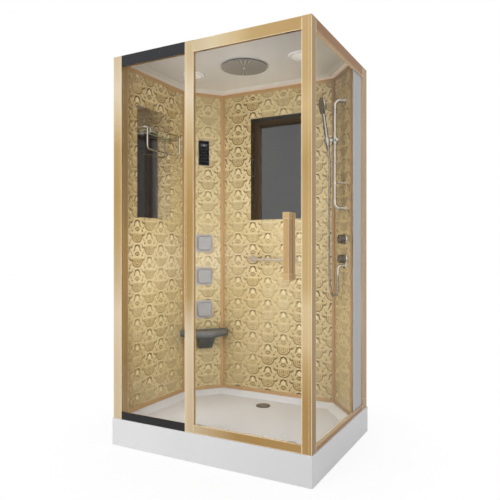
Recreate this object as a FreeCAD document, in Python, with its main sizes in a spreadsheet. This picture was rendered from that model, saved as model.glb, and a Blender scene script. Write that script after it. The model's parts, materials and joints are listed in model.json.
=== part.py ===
import FreeCAD
import Part
import math
import os
import Sketcher
from FreeCAD import Placement, Rotation, Vector

# Rectangular shower cabin, 1200 by 900 mm, with a sliding glass door.
# X runs along the front to the right, Y runs to the back and Z runs up.
# The origin is on the floor, under the middle of the tray.

# Driving sizes in millimetres and degrees
SIZES = {
    # Whole cabin
    "tray_width": 1200,
    "tray_depth": 900,
    "tray_height": 150,
    "cabin_height": 2170,
    "frame_inset": 6,
    "running_gap": 0.3,
    "wall_inset": 25,
    "back_inset": 30,
    "corner_cut_x": 175,
    "corner_cut_y": 214,
    "panel_thickness": 8,
    "joint_gap": 4,
    "overrun": 5,
    # Tray
    "skirt_gap": 3,
    "skirt_wall": 5,
    "tray_corner_radius": 6,
    "tray_edge_radius": 3,
    "basin_floor_height": 124,
    "basin_wall": 6,
    "basin_margin": 14,
    "basin_slope_width": 46,
    "basin_front_margin": 10,
    "waste_notch_width": 130,
    "waste_notch_height": 84,
    # Tray supports
    "tube_side": 30,
    "tube_wall": 2,
    "frame_tube_length": 1120,
    "frame_tube_spacing": 330,
    "cross_tube_outer_x": 520,
    "cross_tube_inner_x": 190,
    "foot_spacing": 480,
    "foot_radius": 25,
    "foot_height": 10,
    "stud_radius": 6,
    # Waste
    "drain_y": 240,
    "drain_dish_radius": 50,
    "drain_dish_depth": 3,
    "drain_hole_radius": 30,
    "drain_flange_radius": 44,
    "drain_sleeve_wall": 3,
    "drain_sleeve_length": 16,
    "drain_ledge": 4,
    "drain_cover_radius": 41,
    "drain_cover_thickness": 4,
    "drain_cover_lift": 3,
    "trap_radius": 48,
    "trap_bottom_height": 18,
    "trap_wall": 3,
    "waste_pipe_radius": 20,
    "waste_pipe_bore_radius": 18,
    "waste_pipe_length": 50,
    "waste_collar_radius": 25,
    "waste_collar_length": 10,
    "waste_pipe_height": 45,
    # Upright posts
    "left_post_width": 58,
    "middle_post_width": 54,
    "right_post_width": 50,
    "post_depth": 55,
    "middle_post_depth": 20,
    "post_wall": 2,
    "door_opening_width": 599,
    "groove_depth": 8,
    "rear_post_width": 40,
    "rear_post_depth": 80,
    "flute_width": 5,
    "flute_depth": 1.5,
    "flute_pitch": 16,
    # Rails
    "top_rail_height": 61,
    "front_bottom_rail_height": 43,
    "side_bottom_rail_height": 28,
    "rail_wall": 2,
    "rail_setback": 2,
    "side_rail_width": 14,
    "rear_rail_depth": 15.7,
    "glass_lip_height": 22,
    "track_clearance": 0.5,
    "track_ledge_drop": 42,
    "track_ledge_width": 12.5,
    "track_ridge_height": 5,
    "rear_web_drop": 45,
    "rear_web_height": 15,
    "guide_channel_width": 12,
    "guide_channel_height": 18,
    # Glazing
    "glass_thickness": 6,
    "fixed_glass_top_gap": 8,
    "side_glass_inset": 12,
    "filler_thickness": 2,
    "filler_front_return": 4,
    "filler_rear_return": 16,
    # Sliding door
    "door_left_overlap": 43,
    "door_right_gap": 8,
    "door_top_drop": 35,
    "door_bottom_rise": 28,
    "hanger_gap": 4,
    "hanger_plate": 3,
    "hanger_width": 46,
    "hanger_height": 27,
    "hanger_inset": 70,
    "clamp_plate": 3,
    "clamp_height": 12,
    "roller_radius": 12,
    "roller_groove_radius": 9,
    "roller_width": 8,
    "roller_groove_width": 3,
    "roller_bore_radius": 3.1,
    "axle_radius": 3,
    "axle_head_radius": 5,
    "axle_head_length": 2,
    "guide_length": 40,
    "guide_inset": 60,
    "guide_side_gap": 0.5,
    "guide_drop": 20,
    "guide_grip": 4,
    "seal_thickness": 2,
    "side_seal_wrap": 10,
    "brush_gap": 0.5,
    "seal_top_drop": 70,
    "seal_bottom_rise": 52,
    "drip_seal_height": 8,
    # Door handle
    "handle_right_inset": 128,
    "handle_width": 32,
    "handle_length": 320,
    "handle_middle_height": 1108,
    "handle_end_height": 30,
    "handle_depth": 44,
    "handle_recess": 1.5,
    "inner_handle_depth": 30,
    # Walls, trims and mirrors
    "wall_top_drop": 23,
    "trim_thickness": 2,
    "trim_height": 22,
    "trim_leg": 17,
    "mirror_thickness": 4,
    "left_mirror_width": 320,
    "left_mirror_height": 660,
    "left_mirror_middle_y": -108,
    "left_mirror_top_drop": 225,
    "back_mirror_width": 362,
    "back_mirror_height": 672,
    "back_mirror_top_drop": 208,
    # Roof, lamps and overhead shower
    "ceiling_drop": 10,
    "roof_thickness": 5,
    "roof_lip_width": 14,
    "roof_cove_width": 62,
    "lamp_spacing": 355,
    "lamp_radius": 70,
    "lamp_hole_radius": 60,
    "lamp_opening_radius": 50,
    "lamp_rim_height": 7,
    "lamp_rim_edge": 4,
    "lamp_ledge": 2,
    "lamp_sleeve_wall": 5,
    "lens_thickness": 3,
    "overhead_y": -5,
    "overhead_radius": 135,
    "overhead_thickness": 8,
    "overhead_edge": 3,
    "overhead_hub_radius": 22,
    "overhead_flange_radius": 27,
    "overhead_flange_height": 4,
    "nozzle_plate_radius": 124,
    "nozzle_plate_thickness": 1.5,
    "nozzle_cap_radius": 7,
    "nozzle_cap_height": 2,
    "inlet_radius": 10.4,
    "inlet_hole_gap": 0.4,
    "inlet_rise": 32,
    "nut_flat_width": 30,
    "nut_height": 8,
    # Control panel on the left corner wall
    "control_width": 76,
    "control_height": 168,
    "control_middle_drop": 425,
    "control_bezel_thickness": 6,
    "control_rim": 3,
    "control_glass_thickness": 2.5,
    "control_box_depth": 30,
    "control_box_margin": 6,
    # Body jets on the left corner wall
    "jet_top_height": 1136,
    "jet_pitch": 222,
    "jet_base_side": 120,
    "jet_base_thickness": 6,
    "jet_base_radius": 12,
    "jet_neck_radius": 24,
    "jet_neck_length": 6,
    "jet_barrel_radius": 7,
    "jet_barrel_length": 30,
    "jet_pivot_depth": 10,
    "jet_stem_side": 10,
    "jet_face_side": 90,
    "jet_face_thickness": 12,
    "jet_face_gap": 8.5,
    "jet_face_radius": 14,
    "jet_face_edge": 3,
    "jet_tail_radius": 10.4,
    "jet_tail_length": 34,
    # Corner seat
    "seat_top_height": 558,
    "seat_thickness": 37,
    "seat_side": 40,
    "seat_front_radius": 172,
    "seat_rim": 14,
    "seat_recess": 6,
    "seat_bracket_height": 86,
    "seat_bracket_top_width": 113,
    "seat_bracket_bottom_width": 87,
    "seat_bracket_top_depth": 96,
    "seat_bracket_bottom_depth": 48,
    # Shelf and towel rail on the left wall
    "shelf_middle_y": -89,
    "shelf_length": 347,
    "shelf_depth": 58,
    "shelf_glass_drop": 380,
    "shelf_glass_thickness": 6,
    "shelf_arm_radius": 5,
    "shelf_arm_spacing": 135,
    "rosette_radius": 16,
    "rosette_thickness": 5,
    "gallery_radius": 4,
    "gallery_post_radius": 3.2,
    "gallery_rise": 22,
    "gallery_bend": 16,
    "towel_rail_radius": 5,
    "towel_rail_drop": 105,
    "towel_rail_spacing": 160,
    "towel_rail_bend": 20,
    # Grab bar on the back wall
    "grab_bar_drop": 260,
    "grab_bar_middle_x": -20,
    "grab_bar_length": 300,
    "grab_bar_radius": 8,
    "grab_bar_stand_off": 50,
    "grab_bar_rosette_radius": 26,
    # Hand shower set on the right corner wall
    "shower_line_x": 36,
    "rod_radius": 9,
    "rod_stand_off": 60,
    "rod_top_drop": 260,
    "rod_length": 527,
    "rod_bracket_radius": 12,
    "rod_bracket_rise": 50,
    "rod_bracket_bend": 34,
    "rod_bracket_rosette_radius": 22,
    "middle_bracket_rise": 97,
    "middle_bracket_ring_radius": 14,
    "middle_bracket_ring_height": 14,
    "middle_bracket_stem_radius": 7,
    "slider_drop": 183,
    "slider_radius": 18,
    "slider_height": 44,
    "slider_tongue_width": 12,
    "slider_tongue_height": 14,
    "slider_knob_radius": 9,
    "slider_knob_length": 16,
    "tilt_pivot_depth": 86,
    "holder_ear_width": 5,
    "holder_ear_radius": 8,
    "holder_cup_depth": 108,
    "holder_cup_radius": 17,
    "holder_cup_bore_radius": 12.6,
    "holder_cup_height": 28,
    "pin_radius": 3,
    "pin_hole_radius": 3.1,
    "handset_lean": 8,
    "handset_grip_radius": 12.3,
    "handset_neck_radius": 10,
    "handset_grip_top": 150,
    "handset_grip_bottom": 26,
    "handset_nut_radius": 12,
    "handset_nut_tip_radius": 8,
    "handset_nut_length": 30,
    "handset_head_rise": 203,
    "handset_head_radius": 49,
    "handset_head_thickness": 12,
    "handset_dome_radius": 24,
    "handset_dome_depth": 10,
    "handset_head_forward": 6,
    "hose_radius": 7,
    # Concealed mixer
    "upper_knob_drop": 229,
    "knob_pitch": 115,
    "upper_knob_radius": 27,
    "lower_knob_radius": 25,
    "knob_depth": 30,
    "knob_stand_off": 8,
    "knob_edge": 3,
    "escutcheon_radius": 32,
    "escutcheon_thickness": 4,
    "spindle_radius": 8,
    "spindle_length": 16,
    "spindle_socket_gap": 0.4,
    "panel_hole_gap": 1.5,
    "valve_width": 62,
    "valve_depth": 38,
    "collar_radius": 13,
    "inlet_length": 44,
    "valve_top_rise": 41,
    "valve_bottom_drop": 15,
    "supply_hot_drop": 4,
    "supply_cold_rise": 1,
    "supply_back_y": 392,
    "outlet_drop": 39,
    "outlet_stand_off": 42,
    "outlet_radius": 9,
    "outlet_bend": 22,
    "outlet_reach": 56,
    "outlet_rosette_radius": 22,
}

# Route of the hand shower's hose: along the wall from the shower line, off the wall, height
HOSE_ROUTE = [
    (0, -42, 943.7),
    (0, -42, 896),
    (-3, -43, 850),
    (-35, -45, 816),
    (-80, -47, 818),
    (-109, -50, 853),
    (-110, -53, 910),
    (-105, -58, 1010),
    (-95, -63, 1130),
    (-78, -69, 1260),
    (-55, -75, 1390),
    (-27, -82, 1505),
    (0, -90.3, 1599.2),
]

# Shares of a size that carries them
HALF_SHARE = 0.5
THIRD_SHARE = 1 / 3
HOSE_ARC_SHARE = 0.45
JET_COUNT = 3

document = FreeCAD.newDocument("shower_cabin")
sheet = document.addObject("Spreadsheet::Sheet", "sizes")
for row, (alias, number) in enumerate(SIZES.items(), start=1):
    sheet.set("A%d" % row, alias)
    sheet.set("B%d" % row, str(number))
    sheet.setAlias("B%d" % row, alias)
document.recompute()


class Size:
    """A length or angle with its present value and the expression that gives it."""

    def __init__(self, value, text):
        self.value = float(value)
        self.text = text

    def __add__(self, other):
        other = as_size(other)
        return Size(self.value + other.value, "(%s + %s)" % (self.text, other.text))

    def __radd__(self, other):
        return as_size(other) + self

    def __sub__(self, other):
        other = as_size(other)
        return Size(self.value - other.value, "(%s - %s)" % (self.text, other.text))

    def __rsub__(self, other):
        return as_size(other) - self

    def __mul__(self, other):
        other = as_size(other)
        return Size(self.value * other.value, "(%s * %s)" % (self.text, other.text))

    def __rmul__(self, other):
        return as_size(other) * self

    def __truediv__(self, other):
        other = as_size(other)
        return Size(self.value / other.value, "(%s / %s)" % (self.text, other.text))

    def __neg__(self):
        return Size(-self.value, "(0 - %s)" % self.text)

    def __float__(self):
        return self.value


class Names:
    """The sheet's cells, each read by its name."""

    def __getattr__(self, alias):
        return Size(sheet.get(alias), "sizes." + alias)


def as_size(number):
    return number if isinstance(number, Size) else Size(number, "%.10g" % number)


def sine(angle):
    return Size(math.sin(math.radians(angle.value)), "sin(%s)" % angle.text)


def cosine(angle):
    return Size(math.cos(math.radians(angle.value)), "cos(%s)" % angle.text)


def root(square):
    return Size(math.sqrt(square.value), "sqrt(%s)" % square.text)


def angle_of(run, rise):
    value = math.degrees(math.atan2(rise.value, run.value))
    return Size(value, "(atan(%s / %s) / 1 deg)" % (rise.text, run.text))


v = Names()
ZERO = as_size(0)

# Planes and lines that several pieces share
half_width = v.tray_width / 2
half_depth = v.tray_depth / 2
frame_x = half_width - v.frame_inset
frame_y = half_depth - v.frame_inset
front_y = -frame_y
wall_x = half_width - v.wall_inset
back_y = half_depth - v.back_inset
corner_x = wall_x - v.corner_cut_x
corner_y = back_y - v.corner_cut_y
corner_length = root(v.corner_cut_x * v.corner_cut_x + v.corner_cut_y * v.corner_cut_y)
corner_turn = angle_of(v.corner_cut_x, v.corner_cut_y)
corner_sine = sine(corner_turn)
corner_cosine = cosine(corner_turn)
post_back_y = front_y + v.post_depth
left_post_x = v.left_post_width - frame_x
right_post_x = frame_x - v.right_post_width
middle_right_x = right_post_x - v.door_opening_width
middle_left_x = middle_right_x - v.middle_post_width
rail_front_y = front_y + v.rail_setback
fixed_glass_y = rail_front_y + v.rail_wall
track_y = front_y + v.middle_post_depth + v.track_clearance
track_back_y = track_y + v.track_ledge_width
hanger_y = track_back_y + v.hanger_gap
door_y = hanger_y + v.hanger_plate
door_back_y = door_y + v.glass_thickness
door_left_x = middle_right_x - v.door_left_overlap
door_right_x = right_post_x - v.door_right_gap
door_top_z = v.cabin_height - v.door_top_drop
door_bottom_z = v.tray_height + v.door_bottom_rise
side_glass_x = frame_x - v.side_glass_inset
rail_inner_x = frame_x - v.side_rail_width
rear_post_y = frame_y - v.rear_post_depth
top_rail_z = v.cabin_height - v.top_rail_height
wall_top = v.cabin_height - v.wall_top_drop
ceiling_z = v.cabin_height - v.ceiling_drop
left_mirror_z = v.cabin_height - v.left_mirror_top_drop - v.left_mirror_height
back_mirror_z = v.cabin_height - v.back_mirror_top_drop - v.back_mirror_height
grab_bar_z = back_mirror_z - v.grab_bar_drop
control_z = v.cabin_height - v.control_middle_drop
shelf_z = v.cabin_height - v.shelf_glass_drop
rod_top_z = v.cabin_height - v.rod_top_drop
rod_bottom_z = rod_top_z - v.rod_length
middle_bracket_z = rod_bottom_z + v.middle_bracket_rise
slider_z = rod_top_z - v.slider_drop
upper_knob_z = rod_bottom_z - v.upper_knob_drop
lower_knob_z = upper_knob_z - v.knob_pitch
outlet_z = lower_knob_z - v.outlet_drop
corner_middle_x = (wall_x + corner_x) / 2
corner_middle_y = (back_y + corner_y) / 2


class Wall:
    """The room face of a wall: its middle point and its turn about Z."""

    def __init__(self, x, y, turn):
        self.x = x
        self.y = y
        self.turn = turn

    def point(self, along, off):
        """Plan position of a point at a distance along the wall and off its face."""
        c = cosine(self.turn)
        s = sine(self.turn)
        return self.x + along * c - off * s, self.y + along * s + off * c


left_wall = Wall(-wall_x, v.left_mirror_middle_y, as_size(90))
left_corner_wall = Wall(-corner_middle_x, corner_middle_y, corner_turn)
back_wall = Wall(ZERO, back_y, ZERO)
right_corner_wall = Wall(corner_middle_x, corner_middle_y, -corner_turn)

nodes = []


def bind(feature, property_name, size):
    """Sets a property to a size and ties it to the sheet."""
    size = as_size(size)
    feature.setExpression(property_name, size.text)


def place(piece, x=ZERO, y=ZERO, z=ZERO, turn=ZERO):
    """Puts a piece at a point and turns it about Z."""
    x, y, z, turn = as_size(x), as_size(y), as_size(z), as_size(turn)
    piece.Placement = Placement(
        Vector(x.value, y.value, z.value), Rotation(Vector(0, 0, 1), turn.value)
    )
    for letter, size in (("x", x), ("y", y), ("z", z)):
        piece.setExpression("Placement.Base." + letter, size.text)
    if turn.value:
        piece.setExpression("Placement.Rotation.Angle", turn.text)
    return piece


def on_wall(piece, wall, along=ZERO, z=ZERO):
    """Hangs a piece on a wall: its X along the wall, its -Y into the cabin."""
    x, y = wall.point(as_size(along), ZERO)
    return place(piece, x, y, z, wall.turn)


def new_body(label):
    body = document.addObject("PartDesign::Body", label)
    body.Label = label
    return body


def node(piece):
    """Marks a finished piece as one to be written out under its own label."""
    nodes.append(piece)
    return piece


def group(label, pieces):
    """One node that holds several separate solids."""
    compound = document.addObject("Part::Compound", label)
    compound.Label = label
    compound.Links = pieces
    return node(compound)


def sketch(body, plane, offset=ZERO):
    """An empty sketch on one of the body's origin planes, or parallel to it."""
    drawing = body.newObject("Sketcher::SketchObject", "Sketch")
    support = [item for item in body.Origin.OriginFeatures if item.Role == plane][0]
    drawing.AttachmentSupport = [(support, "")]
    drawing.MapMode = "FlatFace"
    offset = as_size(offset)
    drawing.AttachmentOffset = Placement(Vector(0, 0, offset.value), Rotation())
    drawing.setExpression("AttachmentOffset.Base.z", offset.text)
    return drawing


def outline(drawing, corners):
    """Draws a closed outline; a corner with a third value is reached along an arc of that radius."""
    corners = [tuple(as_size(item) for item in corner) for corner in corners]
    first = drawing.GeometryCount
    points = [Vector(corner[0].value, corner[1].value, 0) for corner in corners]
    count = len(corners)
    limits = []
    for index in range(count):
        start = points[index]
        end = points[(index + 1) % count]
        following = corners[(index + 1) % count]
        if len(following) > 2:
            radius = following[2].value
            chord = end - start
            half = chord.Length / 2
            rise = math.sqrt(max(radius * radius - half * half, 0))
            side = Vector(-chord.y, chord.x, 0).normalize()
            centre = start + chord * HALF_SHARE + side * (rise if radius > 0 else -rise)
            circle = Part.Circle(centre, Vector(0, 0, 1), abs(radius))
            begin = math.atan2(start.y - centre.y, start.x - centre.x)
            finish = math.atan2(end.y - centre.y, end.x - centre.x)
            if radius > 0:
                drawing.addGeometry(Part.ArcOfCircle(circle, begin, finish), False)
                limits.append((1, 2))
            else:
                drawing.addGeometry(Part.ArcOfCircle(circle, finish, begin), False)
                limits.append((2, 1))
        else:
            drawing.addGeometry(Part.LineSegment(start, end), False)
            limits.append((1, 2))
    rules = []
    texts = []
    for index in range(count):
        here = first + index
        after = first + (index + 1) % count
        rules.append(
            Sketcher.Constraint(
                "Coincident", here, limits[index][1], after, limits[(index + 1) % count][0]
            )
        )
        texts.append(None)
        for kind, size in zip(("DistanceX", "DistanceY"), corners[index]):
            rules.append(
                Sketcher.Constraint(kind, -1, 1, here, limits[index][0], size.value)
            )
            texts.append(size.text)
        following = corners[(index + 1) % count]
        if len(following) > 2:
            radius = following[2] if following[2].value > 0 else -following[2]
            rules.append(Sketcher.Constraint("Radius", here, radius.value))
            texts.append(radius.text)
    offset = drawing.ConstraintCount
    drawing.addConstraint(rules)
    for index, text in enumerate(texts):
        if text:
            drawing.setExpression("Constraints[%d]" % (offset + index), text)
    return drawing


def rectangle(drawing, x0, x1, y0, y1):
    return outline(drawing, [(x0, y0), (x1, y0), (x1, y1), (x0, y1)])


def circle(drawing, x, y, radius):
    """Draws a circle tied to the sheet."""
    x, y, radius = as_size(x), as_size(y), as_size(radius)
    where = Part.Circle(Vector(x.value, y.value, 0), Vector(0, 0, 1), radius.value)
    index = drawing.addGeometry(where, False)
    offset = drawing.ConstraintCount
    drawing.addConstraint(
        [
            Sketcher.Constraint("DistanceX", -1, 1, index, 3, x.value),
            Sketcher.Constraint("DistanceY", -1, 1, index, 3, y.value),
            Sketcher.Constraint("Radius", index, radius.value),
        ]
    )
    for place_in_list, size in enumerate((x, y, radius)):
        drawing.setExpression("Constraints[%d]" % (offset + place_in_list), size.text)
    return drawing


def pad(body, drawing, length, backwards=False):
    feature = body.newObject("PartDesign::Pad", "Pad")
    feature.Profile = drawing
    feature.Length = as_size(length).value
    bind(feature, "Length", length)
    feature.Reversed = backwards
    document.recompute()
    return feature


def pocket(body, drawing, length, backwards=False):
    feature = body.newObject("PartDesign::Pocket", "Pocket")
    feature.Profile = drawing
    feature.Length = as_size(length).value
    bind(feature, "Length", length)
    feature.Reversed = backwards
    document.recompute()
    return feature


def revolve(body, drawing, axis="V_Axis"):
    feature = body.newObject("PartDesign::Revolution", "Revolution")
    feature.Profile = drawing
    feature.ReferenceAxis = (drawing, [axis])
    feature.Angle = 360
    document.recompute()
    return feature


def loft(body, kind, first, second):
    feature = body.newObject("PartDesign::" + kind, kind)
    feature.Profile = first
    feature.Sections = [second]
    feature.Ruled = True
    document.recompute()
    return feature


def dress(body, kind, size, wanted):
    """Rounds or bevels the edges of the body's tip for which wanted(edge) is true."""
    tip = body.Tip
    edges = [
        "Edge%d" % (index + 1) for index, edge in enumerate(tip.Shape.Edges) if wanted(edge)
    ]
    feature = body.newObject("PartDesign::" + kind, kind)
    feature.Base = (tip, edges)
    cell = "Radius" if kind == "Fillet" else "Size"
    setattr(feature, cell, as_size(size).value)
    bind(feature, cell, size)
    document.recompute()
    return feature


def slab(label, x0, x1, y0, y1, z0, z1):
    """A flat rectangular piece between three pairs of planes."""
    body = new_body(label)
    pad(body, rectangle(sketch(body, "XY_Plane", z0), x0, x1, y0, y1), z1 - z0)
    return body


def turned(label, profile):
    """A piece turned about Z from a profile of radius and height."""
    body = new_body(label)
    revolve(body, outline(sketch(body, "XZ_Plane"), profile))
    return body


def turned_off_wall(label, profile):
    """A piece turned about the wall's normal from a profile of radius and depth."""
    body = new_body(label)
    revolve(body, outline(sketch(body, "XY_Plane"), profile))
    return body


def is_upright(edge):
    ends = [vertex.Point for vertex in edge.Vertexes]
    if len(ends) < 2:
        return False
    shift = ends[1] - ends[0]
    return abs(shift.x) + abs(shift.y) < v.running_gap.value and abs(shift.z) > v.basin_wall.value


def in_corner(point_a, normal_a, normal_b, distance):
    """The corner of two walls moved into the cabin by one distance from each."""
    dot = normal_a[0] * normal_b[0] + normal_a[1] * normal_b[1]
    share = distance / (1 + dot)
    return (
        point_a[0] + (normal_a[0] + normal_b[0]) * share,
        point_a[1] + (normal_a[1] + normal_b[1]) * share,
    )


def cabin_plan(margin, front):
    """Plan of the inside, drawn in from the walls by a margin, as a list of corners."""
    side = wall_x - margin
    rear = back_y - margin
    low = in_corner(
        (wall_x, corner_y), (as_size(-1), ZERO), (-corner_sine, -corner_cosine), margin
    )
    high = in_corner(
        (corner_x, back_y), (ZERO, as_size(-1)), (-corner_sine, -corner_cosine), margin
    )
    return [
        (-side, front),
        (side, front),
        (side, low[1]),
        (high[0], rear),
        (-high[0], rear),
        (-side, low[1]),
    ]


def round_path(points, radii):
    """A wire of straight runs joined by tangent arcs of the given radii."""
    edges = []
    start = points[0]
    for index in range(1, len(points) - 1):
        before = (points[index - 1] - points[index]).normalize()
        after = (points[index + 1] - points[index]).normalize()
        half_turn = (math.pi - before.getAngle(after)) / 2
        cut = radii[index - 1] * math.tan(half_turn)
        enter = points[index] + before * cut
        leave = points[index] + after * cut
        inward = (before + after).normalize()
        to_centre = radii[index - 1] / math.cos(half_turn)
        middle = points[index] + inward * (to_centre - radii[index - 1])
        edges.append(Part.LineSegment(start, enter).toShape())
        edges.append(Part.Arc(enter, middle, leave).toShape())
        start = leave
    edges.append(Part.LineSegment(start, points[-1]).toShape())
    return Part.Wire(edges)


def bent_bar(points, bend, radius):
    """A round bar along a path, as a shape."""
    path = round_path(points, [bend] * (len(points) - 2))
    direction = points[1] - points[0]
    ring = Part.Wire(Part.makeCircle(radius, points[0], direction))
    return path.makePipeShell([ring], True, False)


def shaped(label, shape, wall=None, along=ZERO):
    """A piece whose shape is worked out from the sheet, set on a wall where one is given."""
    piece = document.addObject("Part::Feature", label)
    piece.Label = label
    piece.Shape = shape
    if wall is not None:
        on_wall(piece, wall, along)
    return piece


# Tray, its supports and its waste


def make_tray():
    body = new_body("tray")
    outer = rectangle(
        sketch(body, "XY_Plane", v.skirt_gap), -half_width, half_width, -half_depth, half_depth
    )
    pad(body, outer, v.tray_height - v.skirt_gap)
    dress(body, "Fillet", v.tray_corner_radius, is_upright)
    top = v.tray_height.value
    dress(
        body,
        "Fillet",
        v.tray_edge_radius,
        lambda edge: all(abs(vertex.Z - top) < v.running_gap.value for vertex in edge.Vertexes),
    )
    front = post_back_y + v.basin_front_margin
    slope = v.basin_slope_width
    rim = outline(sketch(body, "XY_Plane", v.tray_height), cabin_plan(v.basin_margin, front))
    floor = outline(
        sketch(body, "XY_Plane", v.basin_floor_height),
        cabin_plan(v.basin_margin + slope, front + slope),
    )
    loft(body, "SubtractiveLoft", rim, floor)
    under = v.basin_floor_height - v.basin_wall
    inner_x = half_width - v.skirt_wall
    inner_y = half_depth - v.skirt_wall
    hollow = rectangle(sketch(body, "XY_Plane", v.skirt_gap), -inner_x, inner_x, -inner_y, inner_y)
    pocket(body, hollow, under - v.skirt_gap, backwards=True)
    wall = v.basin_margin - v.basin_wall
    ring = rectangle(sketch(body, "XY_Plane", under), -inner_x, inner_x, -inner_y, inner_y)
    outline(ring, cabin_plan(wall, front - v.basin_wall))
    pocket(body, ring, v.tray_height - v.basin_wall - under, backwards=True)
    dish = circle(sketch(body, "XY_Plane", v.basin_floor_height), ZERO, v.drain_y, v.drain_dish_radius)
    pocket(body, dish, v.drain_dish_depth)
    hole = circle(sketch(body, "XY_Plane", v.basin_floor_height), ZERO, v.drain_y, v.drain_hole_radius)
    pocket(body, hole, v.basin_wall + v.overrun)
    half_notch = v.waste_notch_width / 2
    notch = rectangle(
        sketch(body, "XZ_Plane", -half_depth), -half_notch, half_notch, ZERO, v.waste_notch_height
    )
    pocket(body, notch, v.skirt_wall + v.overrun, backwards=True)
    return node(body)


def square_tube(label, length, along_x):
    """A square steel tube that starts at its own origin, under the tray floor."""
    body = new_body(label)
    half = v.tube_side / 2
    inner = half - v.tube_wall
    plane = "YZ_Plane" if along_x else "XZ_Plane"
    drawing = rectangle(sketch(body, plane), -half, half, -half, half)
    rectangle(drawing, -inner, inner, -inner, inner)
    pad(body, drawing, length, backwards=not along_x)
    return body


def make_tray_frame():
    z = v.basin_floor_height - v.basin_wall - v.tube_side / 2
    pieces = []
    for row in (-1, 0, 1):
        tube = square_tube("long_tube", v.frame_tube_length, True)
        pieces.append(place(tube, -v.frame_tube_length / 2, v.frame_tube_spacing * row, z))
    length = v.frame_tube_spacing - v.tube_side
    for x in (v.cross_tube_outer_x, v.cross_tube_inner_x):
        for side in (-1, 1):
            for row in (-1, 0):
                tube = square_tube("cross_tube", length, False)
                y = v.frame_tube_spacing * row + v.tube_side / 2
                pieces.append(place(tube, x * side, y, z))
    return group("tray_frame", pieces)


def make_tray_feet():
    stud_top = v.basin_floor_height - v.basin_wall - v.tube_side
    profile = [
        (ZERO, ZERO),
        (v.foot_radius, ZERO),
        (v.foot_radius, v.foot_height),
        (v.stud_radius, v.foot_height),
        (v.stud_radius, stud_top),
        (ZERO, stud_top),
    ]
    pieces = []
    for column, row in ((-1, -1), (-1, 1), (0, -1), (0, 0), (1, -1), (1, 1)):
        foot = turned("foot", profile)
        pieces.append(place(foot, v.foot_spacing * column, v.frame_tube_spacing * row))
    return group("tray_feet", pieces)


dish_z = v.basin_floor_height - v.drain_dish_depth
sleeve_radius = v.drain_hole_radius - v.running_gap
sleeve_bore = sleeve_radius - v.drain_sleeve_wall
sleeve_bottom_z = dish_z - v.drain_sleeve_length


def make_drain_flange():
    ledge = sleeve_bore - v.drain_ledge
    body = turned(
        "drain_flange",
        [
            (sleeve_bore, v.basin_floor_height),
            (v.drain_flange_radius, v.basin_floor_height),
            (v.drain_flange_radius, dish_z),
            (sleeve_radius, dish_z),
            (sleeve_radius, sleeve_bottom_z),
            (ledge, sleeve_bottom_z),
            (ledge, sleeve_bottom_z + v.drain_sleeve_wall),
            (sleeve_bore, sleeve_bottom_z + v.drain_sleeve_wall),
        ],
    )
    return node(place(body, ZERO, v.drain_y))


def make_drain_cover():
    under = v.basin_floor_height + v.drain_cover_lift
    skirt = sleeve_bore - v.running_gap
    skirt_bore = skirt - v.drain_sleeve_wall
    foot = sleeve_bottom_z + v.drain_sleeve_wall
    rim = v.drain_cover_radius
    body = turned(
        "drain_cover",
        [
            (ZERO, under),
            (skirt_bore, under),
            (skirt_bore, foot),
            (skirt, foot),
            (skirt, under),
            (rim, under),
            (rim, under + v.drain_cover_thickness * THIRD_SHARE),
            (rim * HALF_SHARE, under + v.drain_cover_thickness),
            (ZERO, under + v.drain_cover_thickness),
        ],
    )
    side = skirt_bore * HALF_SHARE
    window = rectangle(
        sketch(body, "XZ_Plane", -v.drain_cover_radius), -side, side, foot + v.drain_ledge, under
    )
    opening = pocket(body, window, v.drain_cover_radius * 2, backwards=True)
    pattern = body.newObject("PartDesign::PolarPattern", "PolarPattern")
    pattern.Originals = [opening]
    axis = [item for item in body.Origin.OriginFeatures if item.Role == "Z_Axis"][0]
    pattern.Axis = (axis, [""])
    pattern.Angle = 180
    pattern.Occurrences = 2
    body.Tip = pattern
    document.recompute()
    return node(place(body, ZERO, v.drain_y))


def make_drain_trap():
    top = v.basin_floor_height - v.basin_wall
    radius = v.trap_radius
    inner = radius - v.trap_wall
    mouth = sleeve_radius + v.running_gap
    bottom = v.trap_bottom_height
    body = turned(
        "drain_trap",
        [
            (mouth, top),
            (radius, top),
            (radius, bottom),
            (ZERO, bottom),
            (ZERO, bottom + v.trap_wall),
            (inner, bottom + v.trap_wall),
            (inner, top - v.trap_wall),
            (mouth, top - v.trap_wall),
        ],
    )
    z = v.waste_pipe_height
    start = inner + v.trap_wall / 2
    shoulder = radius + v.waste_collar_length
    end = shoulder + v.waste_pipe_length
    collar = circle(sketch(body, "XZ_Plane", -start), ZERO, z, v.waste_collar_radius)
    pad(body, collar, shoulder - start, backwards=True)
    pipe = circle(sketch(body, "XZ_Plane", -shoulder), ZERO, z, v.waste_pipe_radius)
    pad(body, pipe, v.waste_pipe_length, backwards=True)
    bore = circle(sketch(body, "XZ_Plane", -end), ZERO, z, v.waste_pipe_bore_radius)
    pocket(body, bore, end - start + v.trap_wall + v.overrun * 2, backwards=True)
    return node(place(body, ZERO, v.drain_y))


# Frame of gold extrusions


def glass_groove_y():
    return fixed_glass_y - v.running_gap, fixed_glass_y + v.glass_thickness + v.running_gap


def upright(label, corners, cavity):
    """A post: an outline with its glazing grooves, and one long cavity."""
    body = new_body(label)
    drawing = outline(sketch(body, "XY_Plane", v.tray_height), corners)
    if cavity:
        rectangle(drawing, *cavity)
    pad(body, drawing, v.cabin_height - v.tray_height)
    return node(body)


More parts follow.
